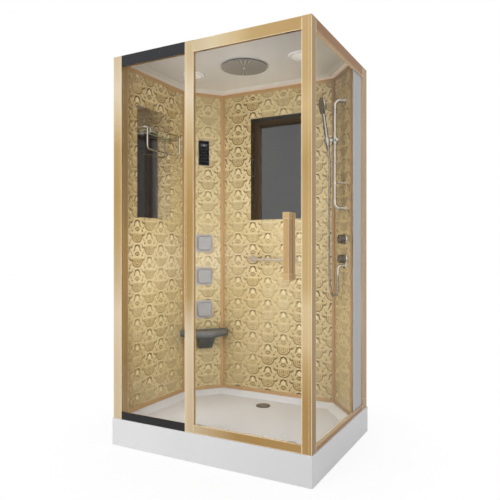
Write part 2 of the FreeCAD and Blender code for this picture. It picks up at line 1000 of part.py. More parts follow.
def make_front_left_post():
    low, high = glass_groove_y()
    outer = -frame_x
    wall_out = -(wall_x + v.panel_thickness + v.running_gap)
    wall_in = -(wall_x - v.running_gap)
    groove_x = left_post_x - v.groove_depth
    groove_y = post_back_y - v.groove_depth
    corners = [
        (outer, front_y),
        (left_post_x, front_y),
        (left_post_x, low),
        (groove_x, low),
        (groove_x, high),
        (left_post_x, high),
        (left_post_x, post_back_y),
        (wall_in, post_back_y),
        (wall_in, groove_y),
        (wall_out, groove_y),
        (wall_out, post_back_y),
        (outer, post_back_y),
    ]
    t = v.post_wall
    cavity = (outer + t, groove_x - t, front_y + t, groove_y - t)
    return upright("front_left_post", corners, cavity)


def make_middle_post():
    low, high = glass_groove_y()
    back = front_y + v.middle_post_depth
    groove_x = middle_left_x + v.groove_depth
    corners = [
        (middle_left_x, front_y),
        (middle_right_x, front_y),
        (middle_right_x, back),
        (middle_left_x, back),
        (middle_left_x, high),
        (groove_x, high),
        (groove_x, low),
        (middle_left_x, low),
    ]
    t = v.post_wall
    cavity = (groove_x + t, middle_right_x - t, front_y + t, back - t)
    return upright("middle_post", corners, cavity)


def make_front_right_post():
    low = side_glass_x - v.running_gap
    high = side_glass_x + v.glass_thickness + v.running_gap
    groove_y = post_back_y - v.groove_depth
    corners = [
        (right_post_x, front_y),
        (frame_x, front_y),
        (frame_x, post_back_y),
        (high, post_back_y),
        (high, groove_y),
        (low, groove_y),
        (low, post_back_y),
        (right_post_x, post_back_y),
    ]
    t = v.post_wall
    cavity = (right_post_x + t, low - t, front_y + t, groove_y - t)
    return upright("front_right_post", corners, cavity)


def rear_post(side):
    """A fluted rear post on one side of the cabin, -1 for left and 1 for right."""
    outer = frame_x * side
    flute = outer - v.flute_depth * side
    inner = (frame_x - v.rear_post_width) * side
    corners = [(inner, rear_post_y), (outer, rear_post_y)]
    for step in range(1, 5):
        y = rear_post_y + v.flute_pitch * step
        corners.append((outer, y - v.flute_width / 2))
        corners.append((flute, y - v.flute_width / 2))
        corners.append((flute, y + v.flute_width / 2))
        corners.append((outer, y + v.flute_width / 2))
    corners += [(outer, frame_y), (inner, frame_y)]
    body = new_body("rear_post")
    drawing = outline(sketch(body, "XY_Plane", v.tray_height), corners)
    t = v.post_wall
    near = inner + t * side
    far = flute - t * side
    rectangle(drawing, near, far, rear_post_y + t, frame_y - t)
    pad(body, drawing, v.cabin_height - v.tray_height)
    return body


def make_rear_posts():
    return group("rear_posts", [rear_post(-1), rear_post(1)])


def notch_for_middle_post(body, low_z, height):
    """Cuts the rail open where the middle post runs through it."""
    gap = v.running_gap
    x0 = middle_left_x - left_post_x - gap
    x1 = middle_right_x - left_post_x + gap
    y1 = front_y + v.middle_post_depth + gap
    drawing = rectangle(
        sketch(body, "XY_Plane", low_z - v.overrun), x0, x1, front_y - v.overrun, y1
    )
    pocket(body, drawing, height + v.overrun * 2, backwards=True)


def make_front_top_rail():
    top = v.cabin_height
    low = top_rail_z
    t = v.rail_wall
    f = rail_front_y
    b = post_back_y
    lip = fixed_glass_y + v.glass_thickness + v.running_gap
    roof = top - t
    lip_z = roof - v.glass_lip_height * 2
    ledge = top - v.track_ledge_drop
    ridge = ledge + t + v.track_ridge_height
    rear = top - v.rear_web_drop
    corners = [
        (f, low),
        (f + t, low),
        (f + t, roof),
        (lip, roof),
        (lip, lip_z),
        (lip + t, lip_z),
        (lip + t, roof),
        (track_y, roof),
        (track_y, ledge),
        (track_back_y, ledge),
        (track_back_y, ridge),
        (track_back_y - t, ridge),
        (track_back_y - t, ledge + t),
        (track_y + t, ledge + t),
        (track_y + t, roof),
        (b - t, roof),
        (b - t, rear),
        (b, rear),
        (b, top),
        (f, top),
    ]
    body = new_body("front_top_rail")
    pad(body, outline(sketch(body, "YZ_Plane"), corners), right_post_x - left_post_x)
    notch_for_middle_post(body, low, v.top_rail_height)
    return node(place(body, left_post_x))


def make_front_bottom_rail():
    z = v.tray_height
    t = v.rail_wall
    f = rail_front_y
    b = post_back_y
    floor = z + t
    lip = fixed_glass_y + v.glass_thickness + v.running_gap
    lip_z = floor + v.glass_lip_height
    middle = door_y + v.glass_thickness / 2
    inner = v.guide_channel_width / 2
    web = floor + v.guide_channel_height
    corners = [
        (f, z),
        (b, z),
        (b, z + v.rear_web_height),
        (b - t, z + v.rear_web_height),
        (b - t, floor),
        (middle + inner + t, floor),
        (middle + inner + t, web),
        (middle + inner, web),
        (middle + inner, floor),
        (middle - inner, floor),
        (middle - inner, web),
        (middle - inner - t, web),
        (middle - inner - t, floor),
        (lip + t, floor),
        (lip + t, lip_z),
        (lip, lip_z),
        (lip, floor),
        (f + t, floor),
        (f + t, z + v.front_bottom_rail_height),
        (f, z + v.front_bottom_rail_height),
    ]
    body = new_body("front_bottom_rail")
    pad(body, outline(sketch(body, "YZ_Plane"), corners), right_post_x - left_post_x)
    notch_for_middle_post(body, z, v.front_bottom_rail_height)
    return node(place(body, left_post_x))


def side_rail(label, z0, z1, groove_up):
    """A right side rail with a glazing groove on its lower or upper face."""
    low = side_glass_x - v.running_gap
    high = side_glass_x + v.glass_thickness + v.running_gap
    t = v.rail_wall
    if groove_up:
        edge = z1
        root_z = z1 - v.groove_depth
        cavity = (rail_inner_x + t, frame_x - t, z0 + t, root_z - t)
    else:
        edge = z0
        root_z = z0 + v.groove_depth
        cavity = (rail_inner_x + t, frame_x - t, root_z + t, z1 - t)
    other = z0 if groove_up else z1
    corners = [
        (rail_inner_x, other),
        (rail_inner_x, edge),
        (low, edge),
        (low, root_z),
        (high, root_z),
        (high, edge),
        (frame_x, edge),
        (frame_x, other),
    ]
    body = new_body(label)
    drawing = outline(sketch(body, "XZ_Plane"), corners)
    rectangle(drawing, *cavity)
    pad(body, drawing, rear_post_y - post_back_y, backwards=True)
    return node(place(body, ZERO, post_back_y))


def make_right_rails():
    side_rail("right_top_rail", top_rail_z, v.cabin_height, False)
    side_rail(
        "right_bottom_rail", v.tray_height, v.tray_height + v.side_bottom_rail_height, True
    )


def hollow_rail(label, across_x, x0, x1, y0, y1, z0, z1):
    """A plain rectangular hollow rail along X or Y."""
    body = new_body(label)
    t = v.rail_wall
    if across_x:
        drawing = rectangle(sketch(body, "YZ_Plane", x0), y0, y1, z0, z1)
        rectangle(drawing, y0 + t, y1 - t, z0 + t, z1 - t)
        pad(body, drawing, x1 - x0)
    else:
        drawing = rectangle(sketch(body, "XZ_Plane", -y0), x0, x1, z0, z1)
        rectangle(drawing, x0 + t, x1 - t, z0 + t, z1 - t)
        pad(body, drawing, y1 - y0, backwards=True)
    return body


def make_outer_rails():
    """The plain rails outside the left wall and between the rear posts, at the top and the foot."""
    x = frame_x - v.rear_post_width
    left_x = -(wall_x + v.panel_thickness + v.running_gap)
    rear_y = frame_y - v.rear_rail_depth
    foot = v.tray_height + v.side_bottom_rail_height
    pieces = []
    for z0, z1 in ((v.tray_height, foot), (top_rail_z, v.cabin_height)):
        pieces.append(
            hollow_rail("left_rail", False, -frame_x, left_x, post_back_y, rear_post_y, z0, z1)
        )
        pieces.append(hollow_rail("rear_rail", True, -x, x, rear_y, frame_y, z0, z1))
    return group("outer_rails", pieces)


# Glass and panels


def make_fixed_glass():
    edge = v.groove_depth - v.running_gap
    body = slab(
        "fixed_glass",
        left_post_x - edge,
        middle_left_x + edge,
        fixed_glass_y,
        fixed_glass_y + v.glass_thickness,
        v.tray_height + v.rail_wall,
        v.cabin_height - v.rail_wall - v.fixed_glass_top_gap,
    )
    return node(body)


def make_fixed_glass_bands():
    foot = v.tray_height + v.front_bottom_rail_height
    pieces = []
    for z0, z1 in ((v.tray_height, foot), (top_rail_z, v.cabin_height)):
        pieces.append(
            slab("band", left_post_x, middle_left_x, front_y, rail_front_y, z0, z1)
        )
    return group("fixed_glass_bands", pieces)


side_low_z = v.tray_height + v.side_bottom_rail_height - v.groove_depth + v.running_gap
side_high_z = top_rail_z + v.groove_depth - v.running_gap


def make_side_glass():
    body = slab(
        "side_glass",
        side_glass_x,
        side_glass_x + v.glass_thickness,
        post_back_y - v.groove_depth + v.running_gap,
        corner_y - v.running_gap,
        side_low_z,
        side_high_z,
    )
    return node(body)


def make_side_filler_panel():
    x1 = side_glass_x + v.glass_thickness
    t = v.filler_thickness
    y0 = corner_y
    y1 = rear_post_y - v.running_gap
    front = x1 - v.filler_front_return
    rear = x1 - v.filler_rear_return
    corners = [
        (x1, y0),
        (x1, y1),
        (rear, y1),
        (rear, y1 - t),
        (x1 - t, y1 - t),
        (x1 - t, y0 + t),
        (front, y0 + t),
        (front, y0),
    ]
    body = new_body("side_filler_panel")
    drawing = outline(sketch(body, "XY_Plane", v.tray_height + v.side_bottom_rail_height), corners)
    pad(body, drawing, top_rail_z - v.tray_height - v.side_bottom_rail_height)
    return node(body)


def make_left_wall_panel():
    body = slab(
        "left_wall_panel",
        -(wall_x + v.panel_thickness),
        -wall_x,
        post_back_y - v.groove_depth + v.running_gap,
        corner_y - v.running_gap,
        v.tray_height,
        wall_top,
    )
    return node(body)


def make_back_wall_panel():
    body = slab(
        "back_wall_panel",
        -corner_x + v.running_gap,
        corner_x - v.running_gap,
        back_y,
        back_y + v.panel_thickness,
        v.tray_height,
        wall_top,
    )
    return node(body)


def corner_panel(label, wall, holes, window=None):
    """A wall panel across a rear corner, with holes for what passes through it."""
    half = corner_length / 2 - v.joint_gap
    body = slab(
        label, -half, half, ZERO, v.panel_thickness, v.tray_height, wall_top
    )
    drawing = sketch(body, "XZ_Plane", v.overrun)
    for x, z, radius in holes:
        circle(drawing, x, z, radius)
    if window:
        rectangle(drawing, *window)
    pocket(body, drawing, v.panel_thickness + v.overrun * 2)
    return node(on_wall(body, wall))


def make_corner_panels():
    tail = v.jet_tail_radius + v.panel_hole_gap
    half_x = v.control_width / 2 - v.control_box_margin + v.running_gap
    half_z = v.control_height / 2 - v.control_box_margin + v.running_gap
    z = control_z
    corner_panel(
        "left_corner_panel",
        left_corner_wall,
        [(ZERO, height, tail) for height in jet_heights()],
        (-half_x, half_x, z - half_z, z + half_z),
    )
    spindle = v.spindle_radius + v.panel_hole_gap
    x = v.shower_line_x
    corner_panel(
        "right_corner_panel",
        right_corner_wall,
        [
            (x, upper_knob_z, spindle),
            (x, lower_knob_z, spindle),
            (x, outlet_z, v.outlet_radius + v.panel_hole_gap),
        ],
    )


def corner_strip(point, run_a, normal_a, run_b, normal_b):
    """A bent strip over the joint of two walls, full height."""
    leg = v.trim_leg
    t = v.trim_thickness
    a = (point[0] + run_a[0] * leg, point[1] + run_a[1] * leg)
    b = (point[0] + run_b[0] * leg, point[1] + run_b[1] * leg)
    corners = [
        a,
        point,
        b,
        (b[0] + normal_b[0] * t, b[1] + normal_b[1] * t),
        in_corner(point, normal_a, normal_b, t),
        (a[0] + normal_a[0] * t, a[1] + normal_a[1] * t),
    ]
    body = new_body("corner_strip")
    drawing = outline(sketch(body, "XY_Plane", v.tray_height), corners)
    pad(body, drawing, wall_top - v.tray_height)
    return body


def glass_edge_strip():
    """The strip that closes the side glass against the right corner wall."""
    leg = v.trim_leg
    t = v.trim_thickness
    run = (-corner_cosine, corner_sine)
    normal = (-corner_sine, -corner_cosine)
    glass_in = side_glass_x - v.running_gap
    end = (wall_x + run[0] * leg, corner_y + run[1] * leg)
    start = (wall_x + run[0] * v.joint_gap, corner_y + run[1] * v.joint_gap)
    corners = [
        (wall_x - t, corner_y - leg),
        (glass_in, corner_y - leg),
        (glass_in, corner_y - v.running_gap),
        (wall_x, corner_y - v.running_gap),
        start,
        end,
        (end[0] + normal[0] * t, end[1] + normal[1] * t),
        in_corner((wall_x, corner_y), (as_size(-1), ZERO), normal, t),
    ]
    foot = v.tray_height + v.side_bottom_rail_height
    body = new_body("glass_edge_strip")
    drawing = outline(sketch(body, "XY_Plane", foot), corners)
    pad(body, drawing, top_rail_z - foot)
    return body


def flat_trim(wall, low, high, z):
    """A flat trim along the foot or the top of a wall."""
    body = slab("flat_trim", low, high, -v.trim_thickness, ZERO, z, z + v.trim_height)
    return on_wall(body, wall)


def make_wall_trim_strips():
    s, c = corner_sine, corner_cosine
    left = (as_size(1), ZERO)
    back = (ZERO, as_size(-1))
    down = (ZERO, as_size(-1))
    pieces = [
        corner_strip((-wall_x, corner_y), down, left, (c, s), (s, -c)),
        corner_strip((-corner_x, back_y), (-c, -s), (s, -c), (as_size(1), ZERO), back),
        corner_strip((corner_x, back_y), (c, -s), (-s, -c), (as_size(-1), ZERO), back),
        glass_edge_strip(),
    ]
    leg = v.trim_leg + v.running_gap
    half = corner_length / 2 - leg
    left_low = post_back_y - v.left_mirror_middle_y + v.running_gap
    left_high = corner_y - v.left_mirror_middle_y - leg
    spans = (
        (left_wall, left_low, left_high),
        (left_corner_wall, -half, half),
        (back_wall, -corner_x + leg, corner_x - leg),
        (right_corner_wall, -half, half),
    )
    for wall, low, high in spans:
        for z in (v.tray_height, wall_top - v.trim_height):
            pieces.append(flat_trim(wall, low, high, z))
    return group("wall_trim_strips", pieces)


def mirror(label, wall, width, bottom, height):
    half = width / 2
    body = slab(label, -half, half, -v.mirror_thickness, ZERO, bottom, bottom + height)
    return node(on_wall(body, wall))


def make_mirrors():
    mirror(
        "left_wall_mirror", left_wall, v.left_mirror_width, left_mirror_z, v.left_mirror_height
    )
    mirror(
        "back_wall_mirror", back_wall, v.back_mirror_width, back_mirror_z, v.back_mirror_height
    )


# Roof, lamps and overhead shower


def make_roof_panel():
    body = new_body("roof_panel")
    gap = v.running_gap
    t = v.panel_thickness
    rear = back_y + t
    right = rail_inner_x - gap
    front = post_back_y + gap
    low = wall_top
    top = ceiling_z + v.roof_thickness
    plan = [
        (-(wall_x + t), front),
        (right, front),
        (right, corner_y),
        (corner_x, rear),
        (-corner_x, rear),
        (-(wall_x + t), corner_y),
    ]
    pad(body, outline(sketch(body, "XY_Plane", low), plan), top - low)
    lip = v.roof_lip_width
    cove = v.roof_cove_width
    mouth = outline(sketch(body, "XY_Plane", low), cabin_plan(lip, front + lip))
    ceiling = outline(sketch(body, "XY_Plane", ceiling_z), cabin_plan(cove, front + cove))
    loft(body, "SubtractiveLoft", mouth, ceiling)
    holes = sketch(body, "XY_Plane", top)
    for side in (-1, 1):
        circle(holes, v.lamp_spacing * side, v.overhead_y, v.lamp_hole_radius)
    circle(holes, ZERO, v.overhead_y, v.inlet_radius + v.inlet_hole_gap)
    pocket(body, holes, v.roof_thickness + v.overrun)
    return node(body)


def make_light_bezels():
    z = ceiling_z
    sleeve = v.lamp_hole_radius - v.running_gap
    bore = sleeve - v.lamp_sleeve_wall
    low = z - v.lamp_rim_height
    ledge = low + v.lamp_ledge
    profile = [
        (v.lamp_opening_radius, low),
        (v.lamp_radius - v.lamp_rim_edge, low),
        (v.lamp_radius, z - v.lamp_rim_edge * HALF_SHARE),
        (v.lamp_radius, z),
        (sleeve, z),
        (sleeve, z + v.roof_thickness),
        (bore, z + v.roof_thickness),
        (bore, ledge),
        (v.lamp_opening_radius, ledge),
    ]
    pieces = []
    for side in (-1, 1):
        pieces.append(place(turned("bezel", profile), v.lamp_spacing * side, v.overhead_y))
    return group("light_bezels", pieces)


def make_light_lenses():
    radius = v.lamp_hole_radius - v.lamp_sleeve_wall - v.running_gap * 2
    z = ceiling_z - v.lamp_rim_height + v.lamp_ledge
    pieces = []
    for side in (-1, 1):
        body = new_body("lens")
        pad(body, circle(sketch(body, "XY_Plane", z), ZERO, ZERO, radius), v.lens_thickness)
        pieces.append(place(body, v.lamp_spacing * side, v.overhead_y))
    return group("light_lenses", pieces)


hub_top_z = ceiling_z - v.overhead_flange_height
head_low_z = hub_top_z - v.overhead_thickness


def hexagon(drawing, across):
    """A regular six-sided outline of the given width across its flats."""
    far = across / root(as_size(3))
    half = across / 2
    near = far * HALF_SHARE
    return outline(
        drawing,
        [(far, ZERO), (near, half), (-near, half), (-far, ZERO), (-near, -half), (near, -half)],
    )


def make_overhead_arm():
    z = ceiling_z
    body = turned(
        "overhead_shower_arm",
        [
            (ZERO, hub_top_z),
            (v.overhead_flange_radius, hub_top_z),
            (v.overhead_flange_radius, z),
            (v.inlet_radius, z),
            (v.inlet_radius, ceiling_z + v.inlet_rise),
            (ZERO, ceiling_z + v.inlet_rise),
        ],
    )
    pad(body, hexagon(sketch(body, "XY_Plane", z + v.roof_thickness), v.nut_flat_width), v.nut_height)
    return node(place(body, ZERO, v.overhead_y))


def make_overhead_head():
    edge = v.overhead_edge
    body = turned(
        "overhead_shower_head",
        [
            (ZERO, head_low_z),
            (v.overhead_radius, head_low_z),
            (v.overhead_radius, head_low_z + edge),
            (v.overhead_hub_radius, hub_top_z - edge),
            (v.overhead_hub_radius, hub_top_z),
            (ZERO, hub_top_z),
        ],
    )
    return node(place(body, ZERO, v.overhead_y))


def make_nozzle_plate():
    low = head_low_z - v.nozzle_plate_thickness
    cap = low - v.nozzle_cap_height
    body = turned(
        "overhead_nozzle_plate",
        [
            (ZERO, cap),
            (v.nozzle_cap_radius, cap),
            (v.nozzle_cap_radius, low),
            (v.nozzle_plate_radius, low),
            (v.nozzle_plate_radius, head_low_z),
            (ZERO, head_low_z),
        ],
    )
    return node(place(body, ZERO, v.overhead_y))


# Control panel and jets


def make_control_panel():
    half_x = v.control_width / 2
    half_z = v.control_height / 2
    middle = control_z
    rim = v.control_rim
    margin = v.control_box_margin
    body = new_body("control_panel_housing")
    face = rectangle(
        sketch(body, "XZ_Plane"), -half_x, half_x, middle - half_z, middle + half_z
    )
    pad(body, face, v.control_bezel_thickness)
    box = rectangle(
        sketch(body, "XZ_Plane"),
        -half_x + margin,
        half_x - margin,
        middle - half_z + margin,
        middle + half_z - margin,
    )
    pad(body, box, v.control_box_depth, backwards=True)
    seat = rectangle(
        sketch(body, "XZ_Plane", v.control_bezel_thickness),
        -half_x + rim,
        half_x - rim,
        middle - half_z + rim,
        middle + half_z - rim,
    )
    pocket(body, seat, v.control_glass_thickness)
    node(on_wall(body, left_corner_wall))
    gap = v.running_gap
    front = v.control_bezel_thickness - v.control_glass_thickness
    glass = new_body("control_panel_glass")
    pane = rectangle(
        sketch(glass, "XZ_Plane", front),
        -half_x + rim + gap,
        half_x - rim - gap,
        middle - half_z + rim + gap,
        middle + half_z - rim - gap,
    )
    pad(glass, pane, v.control_glass_thickness)
    node(on_wall(glass, left_corner_wall))


def is_square_to_wall(edge, length):
    """True for a straight edge of that length that points off the wall."""
    box = edge.BoundBox
    slack = v.running_gap.value
    return abs(box.YLength - length.value) < slack and box.XLength + box.ZLength < slack


def is_on_front(edge, off):
    """True for an edge that lies flat in the plane that far off the wall."""
    box = edge.BoundBox
    slack = v.running_gap.value
    return box.YLength < slack and abs(box.YMin + off.value) < slack


def jet_heights():
    return [v.jet_top_height - v.jet_pitch * index for index in range(JET_COUNT)]


def jet_socket(height):
    """The fixed part of a jet: a square plate, a round neck with a saddle, and a tail pipe."""
    half = v.jet_base_side / 2
    base = v.jet_base_thickness
    body = new_body("jet_socket")
    plate = rectangle(sketch(body, "XZ_Plane"), -half, half, height - half, height + half)
    pad(body, plate, base)
    dress(body, "Fillet", v.jet_base_radius, lambda edge: is_square_to_wall(edge, base))
    neck = circle(sketch(body, "XZ_Plane", base), ZERO, height, v.jet_neck_radius)
    pad(body, neck, v.jet_neck_length)
    reach = v.jet_barrel_length / 2 + v.running_gap
    saddle = circle(
        sketch(body, "YZ_Plane", -reach),
        -v.jet_pivot_depth,
        height,
        v.jet_barrel_radius + v.running_gap,
    )
    pocket(body, saddle, reach * 2, backwards=True)
    tail = circle(sketch(body, "XZ_Plane"), ZERO, height, v.jet_tail_radius)
    pad(body, tail, v.jet_tail_length, backwards=True)
    return on_wall(body, left_corner_wall)


def make_jet_sockets():
    return group("jet_sockets", [jet_socket(height) for height in jet_heights()])


def make_jet_face(label, height):
    """The tilting pillow of a jet, on a barrel that turns in the neck's saddle."""
    half = v.jet_face_side / 2
    back = v.jet_pivot_depth + v.jet_face_gap
    thick = v.jet_face_thickness
    body = new_body(label)
    pillow = rectangle(sketch(body, "XZ_Plane", back), -half, half, height - half, height + half)
    pad(body, pillow, thick)
    dress(body, "Fillet", v.jet_face_radius, lambda edge: is_square_to_wall(edge, thick))
    dress(body, "Chamfer", v.jet_face_edge, lambda edge: is_on_front(edge, back + thick))
    stem_half = v.jet_stem_side / 2
    stem = rectangle(
        sketch(body, "XZ_Plane", v.jet_pivot_depth),
        -stem_half,
        stem_half,
        height - stem_half,
        height + stem_half,
    )
    pad(body, stem, v.jet_face_gap)
    barrel = circle(
        sketch(body, "YZ_Plane", -v.jet_barrel_length / 2),
        -v.jet_pivot_depth,
        height,
        v.jet_barrel_radius,
    )
    pad(body, barrel, v.jet_barrel_length)
    return node(on_wall(body, left_corner_wall))


def make_jet_faces():
    labels = ("jet_face_upper", "jet_face_middle", "jet_face_lower")
    for label, height in zip(labels, jet_heights()):
        make_jet_face(label, height)


# Corner seat


def seat_plan(inset):
    """Plan of the seat: three sides that clear the joint strips, and a curved front."""
    off = v.trim_thickness + v.running_gap + inset
    side = v.seat_side - inset
    half = corner_length / 2
    into = (ZERO, as_size(-1))
    right = in_corner((half, ZERO), into, (-corner_sine, -corner_cosine), off)
    left = in_corner((-half, ZERO), into, (corner_cosine, -corner_sine), off)
    return [
        left,
        (left[0] - corner_sine * side, left[1] - corner_cosine * side),
        (
            right[0] + corner_cosine * side,
            right[1] - corner_sine * side,
            v.seat_front_radius - inset,
        ),
        right,
    ]


def make_corner_seat():
    body = new_body("corner_seat")
    low = v.seat_top_height - v.seat_thickness
    pad(body, outline(sketch(body, "XY_Plane", low), seat_plan(ZERO)), v.seat_thickness)
    dish = outline(sketch(body, "XY_Plane", v.seat_top_height), seat_plan(v.seat_rim))
    pocket(body, dish, v.seat_recess)
    top = rectangle(
        sketch(body, "XY_Plane", low),
        -v.seat_bracket_top_width / 2,
        v.seat_bracket_top_width / 2,
        -v.seat_bracket_top_depth,
        -v.running_gap,
    )
    bottom = rectangle(
        sketch(body, "XY_Plane", low - v.seat_bracket_height),
        -v.seat_bracket_bottom_width / 2,
        v.seat_bracket_bottom_width / 2,
        -v.seat_bracket_bottom_depth,
        -v.running_gap,
    )
    loft(body, "AdditiveLoft", top, bottom)
    return node(on_wall(body, left_corner_wall))


# Shelf with towel rail, and grab bar


def make_shelf():
    along = v.shelf_middle_y - v.left_mirror_middle_y
    half = v.shelf_length / 2
    low = shelf_z
    back = v.mirror_thickness + v.rosette_thickness + v.running_gap
    glass = slab(
        "glass_shelf",
        -half,
        half,
        -v.shelf_depth,
        -back,
        low,
        low + v.shelf_glass_thickness,
    )
    node(on_wall(glass, left_wall, along))
    arm_z = (low - v.shelf_arm_radius).value
    front = -(v.shelf_depth + v.towel_rail_radius + v.running_gap).value
    face = -v.mirror_thickness.value
    reach = Vector(0, face - front + v.shelf_arm_radius.value, 0)
    rail_z = (low + v.gallery_rise).value
    spread = v.shelf_arm_spacing.value
    shapes = []
    for side in (-1, 1):
        x = side * spread
        start = Vector(x, front - v.shelf_arm_radius.value, arm_z)
        arm = Part.makeCylinder(v.shelf_arm_radius.value, reach.y, start, Vector(0, 1, 0))
        rosette = Part.makeCylinder(
            v.rosette_radius.value,
            v.rosette_thickness.value,
            Vector(x, face, arm_z),
            Vector(0, -1, 0),
        )
        post = Part.makeCylinder(
            v.gallery_post_radius.value, rail_z - arm_z, Vector(x, front, arm_z), Vector(0, 0, 1)
        )
        shapes.append(arm.fuse([rosette, post]))
    end = (half + v.gallery_radius + v.running_gap).value
    rail = bent_bar(
        [
            Vector(-end, face, rail_z),
            Vector(-end, front, rail_z),
            Vector(end, front, rail_z),
            Vector(end, face, rail_z),
        ],
        v.gallery_bend.value,
        v.gallery_radius.value,
    )
    gallery = shapes[0].fuse([shapes[1], rail]).removeSplitter()
    node(shaped("shelf_gallery", gallery, left_wall, along))
    drop = (low - v.towel_rail_drop).value
    x = v.towel_rail_spacing.value
    hang = bent_bar(
        [
            Vector(-x, front, rail_z - v.gallery_radius.value),
            Vector(-x, front, drop),
            Vector(x, front, drop),
            Vector(x, front, rail_z - v.gallery_radius.value),
        ],
        v.towel_rail_bend.value,
        v.towel_rail_radius.value,
    )
    node(shaped("towel_rail", hang, left_wall, along))


def make_back_grab_bar():
    half = v.grab_bar_length.value / 2
    off = -v.grab_bar_stand_off.value
    z = grab_bar_z.value
    bar = bent_bar(
        [Vector(-half, 0, z), Vector(-half, off, z), Vector(half, off, z), Vector(half, 0, z)],
        v.grab_bar_stand_off.value * HALF_SHARE,
        v.grab_bar_radius.value,
    )
    rosettes = [
        Part.makeCylinder(
            v.grab_bar_rosette_radius.value,
            v.rosette_thickness.value,
            Vector(side * half, 0, z),
            Vector(0, -1, 0),
        )
        for side in (-1, 1)
    ]
    shape = bar.fuse(rosettes).removeSplitter()
    return node(shaped("back_grab_bar", shape, back_wall, v.grab_bar_middle_x))


# Hand shower set


def make_riser_rod():
    body = new_body("riser_rod")
    drawing = circle(
        sketch(body, "XY_Plane", rod_bottom_z), ZERO, -v.rod_stand_off, v.rod_radius
    )
    pad(body, drawing, v.rod_length)
    return node(on_wall(body, right_corner_wall, v.shower_line_x))


def end_bracket(z, rise):
    """A bracket that curves from the end of the rod to a rosette on the wall."""
    off = -v.rod_stand_off.value
    shape = bent_bar(
        [Vector(0, off, z), Vector(0, off, z + rise), Vector(0, 0, z + rise)],
        v.rod_bracket_bend.value,
        v.rod_bracket_radius.value,
    )
    rosette = Part.makeCylinder(
        v.rod_bracket_rosette_radius.value,
        v.rosette_thickness.value,
        Vector(0, 0, z + rise),
        Vector(0, -1, 0),
    )
    return shape.fuse(rosette).removeSplitter()


def make_riser_brackets():
    rise = v.rod_bracket_rise.value
    z = middle_bracket_z.value
    half = v.middle_bracket_ring_height.value / 2
    centre = Vector(0, -v.rod_stand_off.value, z - half)
    up = Vector(0, 0, 1)
    ring = Part.makeCylinder(v.middle_bracket_ring_radius.value, half * 2, centre, up)
    stem = Part.makeCylinder(
        v.middle_bracket_stem_radius.value,
        v.rod_stand_off.value,
        Vector(0, 0, z),
        Vector(0, -1, 0),
    )
    bore = Part.makeCylinder(v.rod_radius.value + v.running_gap.value, half * 4, centre - up * half, up)
    middle = ring.fuse(stem).cut(bore)
    shapes = [
        end_bracket(rod_top_z.value, rise),
        middle,
        end_bracket(rod_bottom_z.value, -rise),
    ]
    shape = Part.makeCompound(shapes)
    return node(shaped("riser_brackets", shape, right_corner_wall, v.shower_line_x))


def make_rod_slider():
    """The sliding clamp: a sleeve on the rod, a side lever and a tongue for the holder."""
    z = slider_z
    half = v.slider_height / 2
    off = v.rod_stand_off
    body = new_body("rod_slider")
    sleeve = circle(sketch(body, "XY_Plane", z - half), ZERO, -off, v.slider_radius)
    pad(body, sleeve, v.slider_height)
    half_tongue = v.slider_tongue_width / 2
    half_height = v.slider_tongue_height / 2
    tongue = rectangle(
        sketch(body, "YZ_Plane", -half_tongue),
        -v.tilt_pivot_depth,
        -(off + v.slider_radius / 2),
        z - half_height,
        z + half_height,
    )
    pad(body, tongue, v.slider_tongue_width)
    tip = circle(sketch(body, "YZ_Plane", -half_tongue), -v.tilt_pivot_depth, z, half_height)
    pad(body, tip, v.slider_tongue_width)
    knob = circle(sketch(body, "YZ_Plane", v.slider_radius / 2), -off, z, v.slider_knob_radius)
    pad(body, knob, v.slider_radius / 2 + v.slider_knob_length)
    bore = circle(sketch(body, "XY_Plane", z - half), ZERO, -off, v.rod_radius + v.running_gap)
    pocket(body, bore, v.slider_height, backwards=True)
    hole = circle(
        sketch(body, "YZ_Plane", -v.slider_radius), -v.tilt_pivot_depth, z, v.pin_hole_radius
    )
    pocket(body, hole, v.slider_radius * 2, backwards=True)
    return node(on_wall(body, right_corner_wall, v.shower_line_x))


def lean_about_pivot(shape):
    """Leans a shape forward about the holder's pin."""
    pivot = Vector(0, -v.tilt_pivot_depth.value, slider_z.value)
    shape.rotate(pivot, Vector(1, 0, 0), v.handset_lean.value)
    return Part.makeCompound([shape])


def make_handset_holder():
    """A fork with a pin that carries the cup for the handset."""
    z = slider_z.value
    inner = v.slider_tongue_width.value / 2 + v.running_gap.value
    width = v.holder_ear_width.value
    radius = v.holder_ear_radius.value
    depth = v.tilt_pivot_depth.value
    cup_y = -v.holder_cup_depth.value
    pin = Part.makeCylinder(
        v.pin_radius.value, (inner + width) * 2, Vector(-inner - width, -depth, z), Vector(1, 0, 0)
    )
    shape = Part.makeCylinder(
        v.holder_cup_radius.value,
        v.holder_cup_height.value,
        Vector(0, cup_y, z - v.holder_cup_height.value / 2),
        Vector(0, 0, 1),
    )
    tip = v.tilt_pivot_depth.value + v.slider_tongue_height.value / 2
    slot_half = inner
    slot = Part.makeBox(
        slot_half * 2,
        tip + v.running_gap.value * 2,
        v.holder_cup_height.value * 2,
        Vector(-slot_half, -tip - v.running_gap.value * 2, z - v.holder_cup_height.value),
    )
    for side in (-1, 1):
        x = inner if side > 0 else -inner - width
        ear = Part.makeCylinder(radius, width, Vector(x, -depth, z), Vector(1, 0, 0))
        arm = Part.makeBox(
            width, -cup_y - depth, radius * 2, Vector(x, cup_y, z - radius)
        )
        shape = shape.fuse([ear, arm])
    bore = Part.makeCylinder(
        v.holder_cup_bore_radius.value,
        v.holder_cup_height.value * 2,
        Vector(0, cup_y, z - v.holder_cup_height.value),
        Vector(0, 0, 1),
    )
    shape = shape.cut(slot).cut(bore).fuse(pin).removeSplitter()
    shape = lean_about_pivot(shape)
    return node(shaped("handset_holder", shape, right_corner_wall, v.shower_line_x))


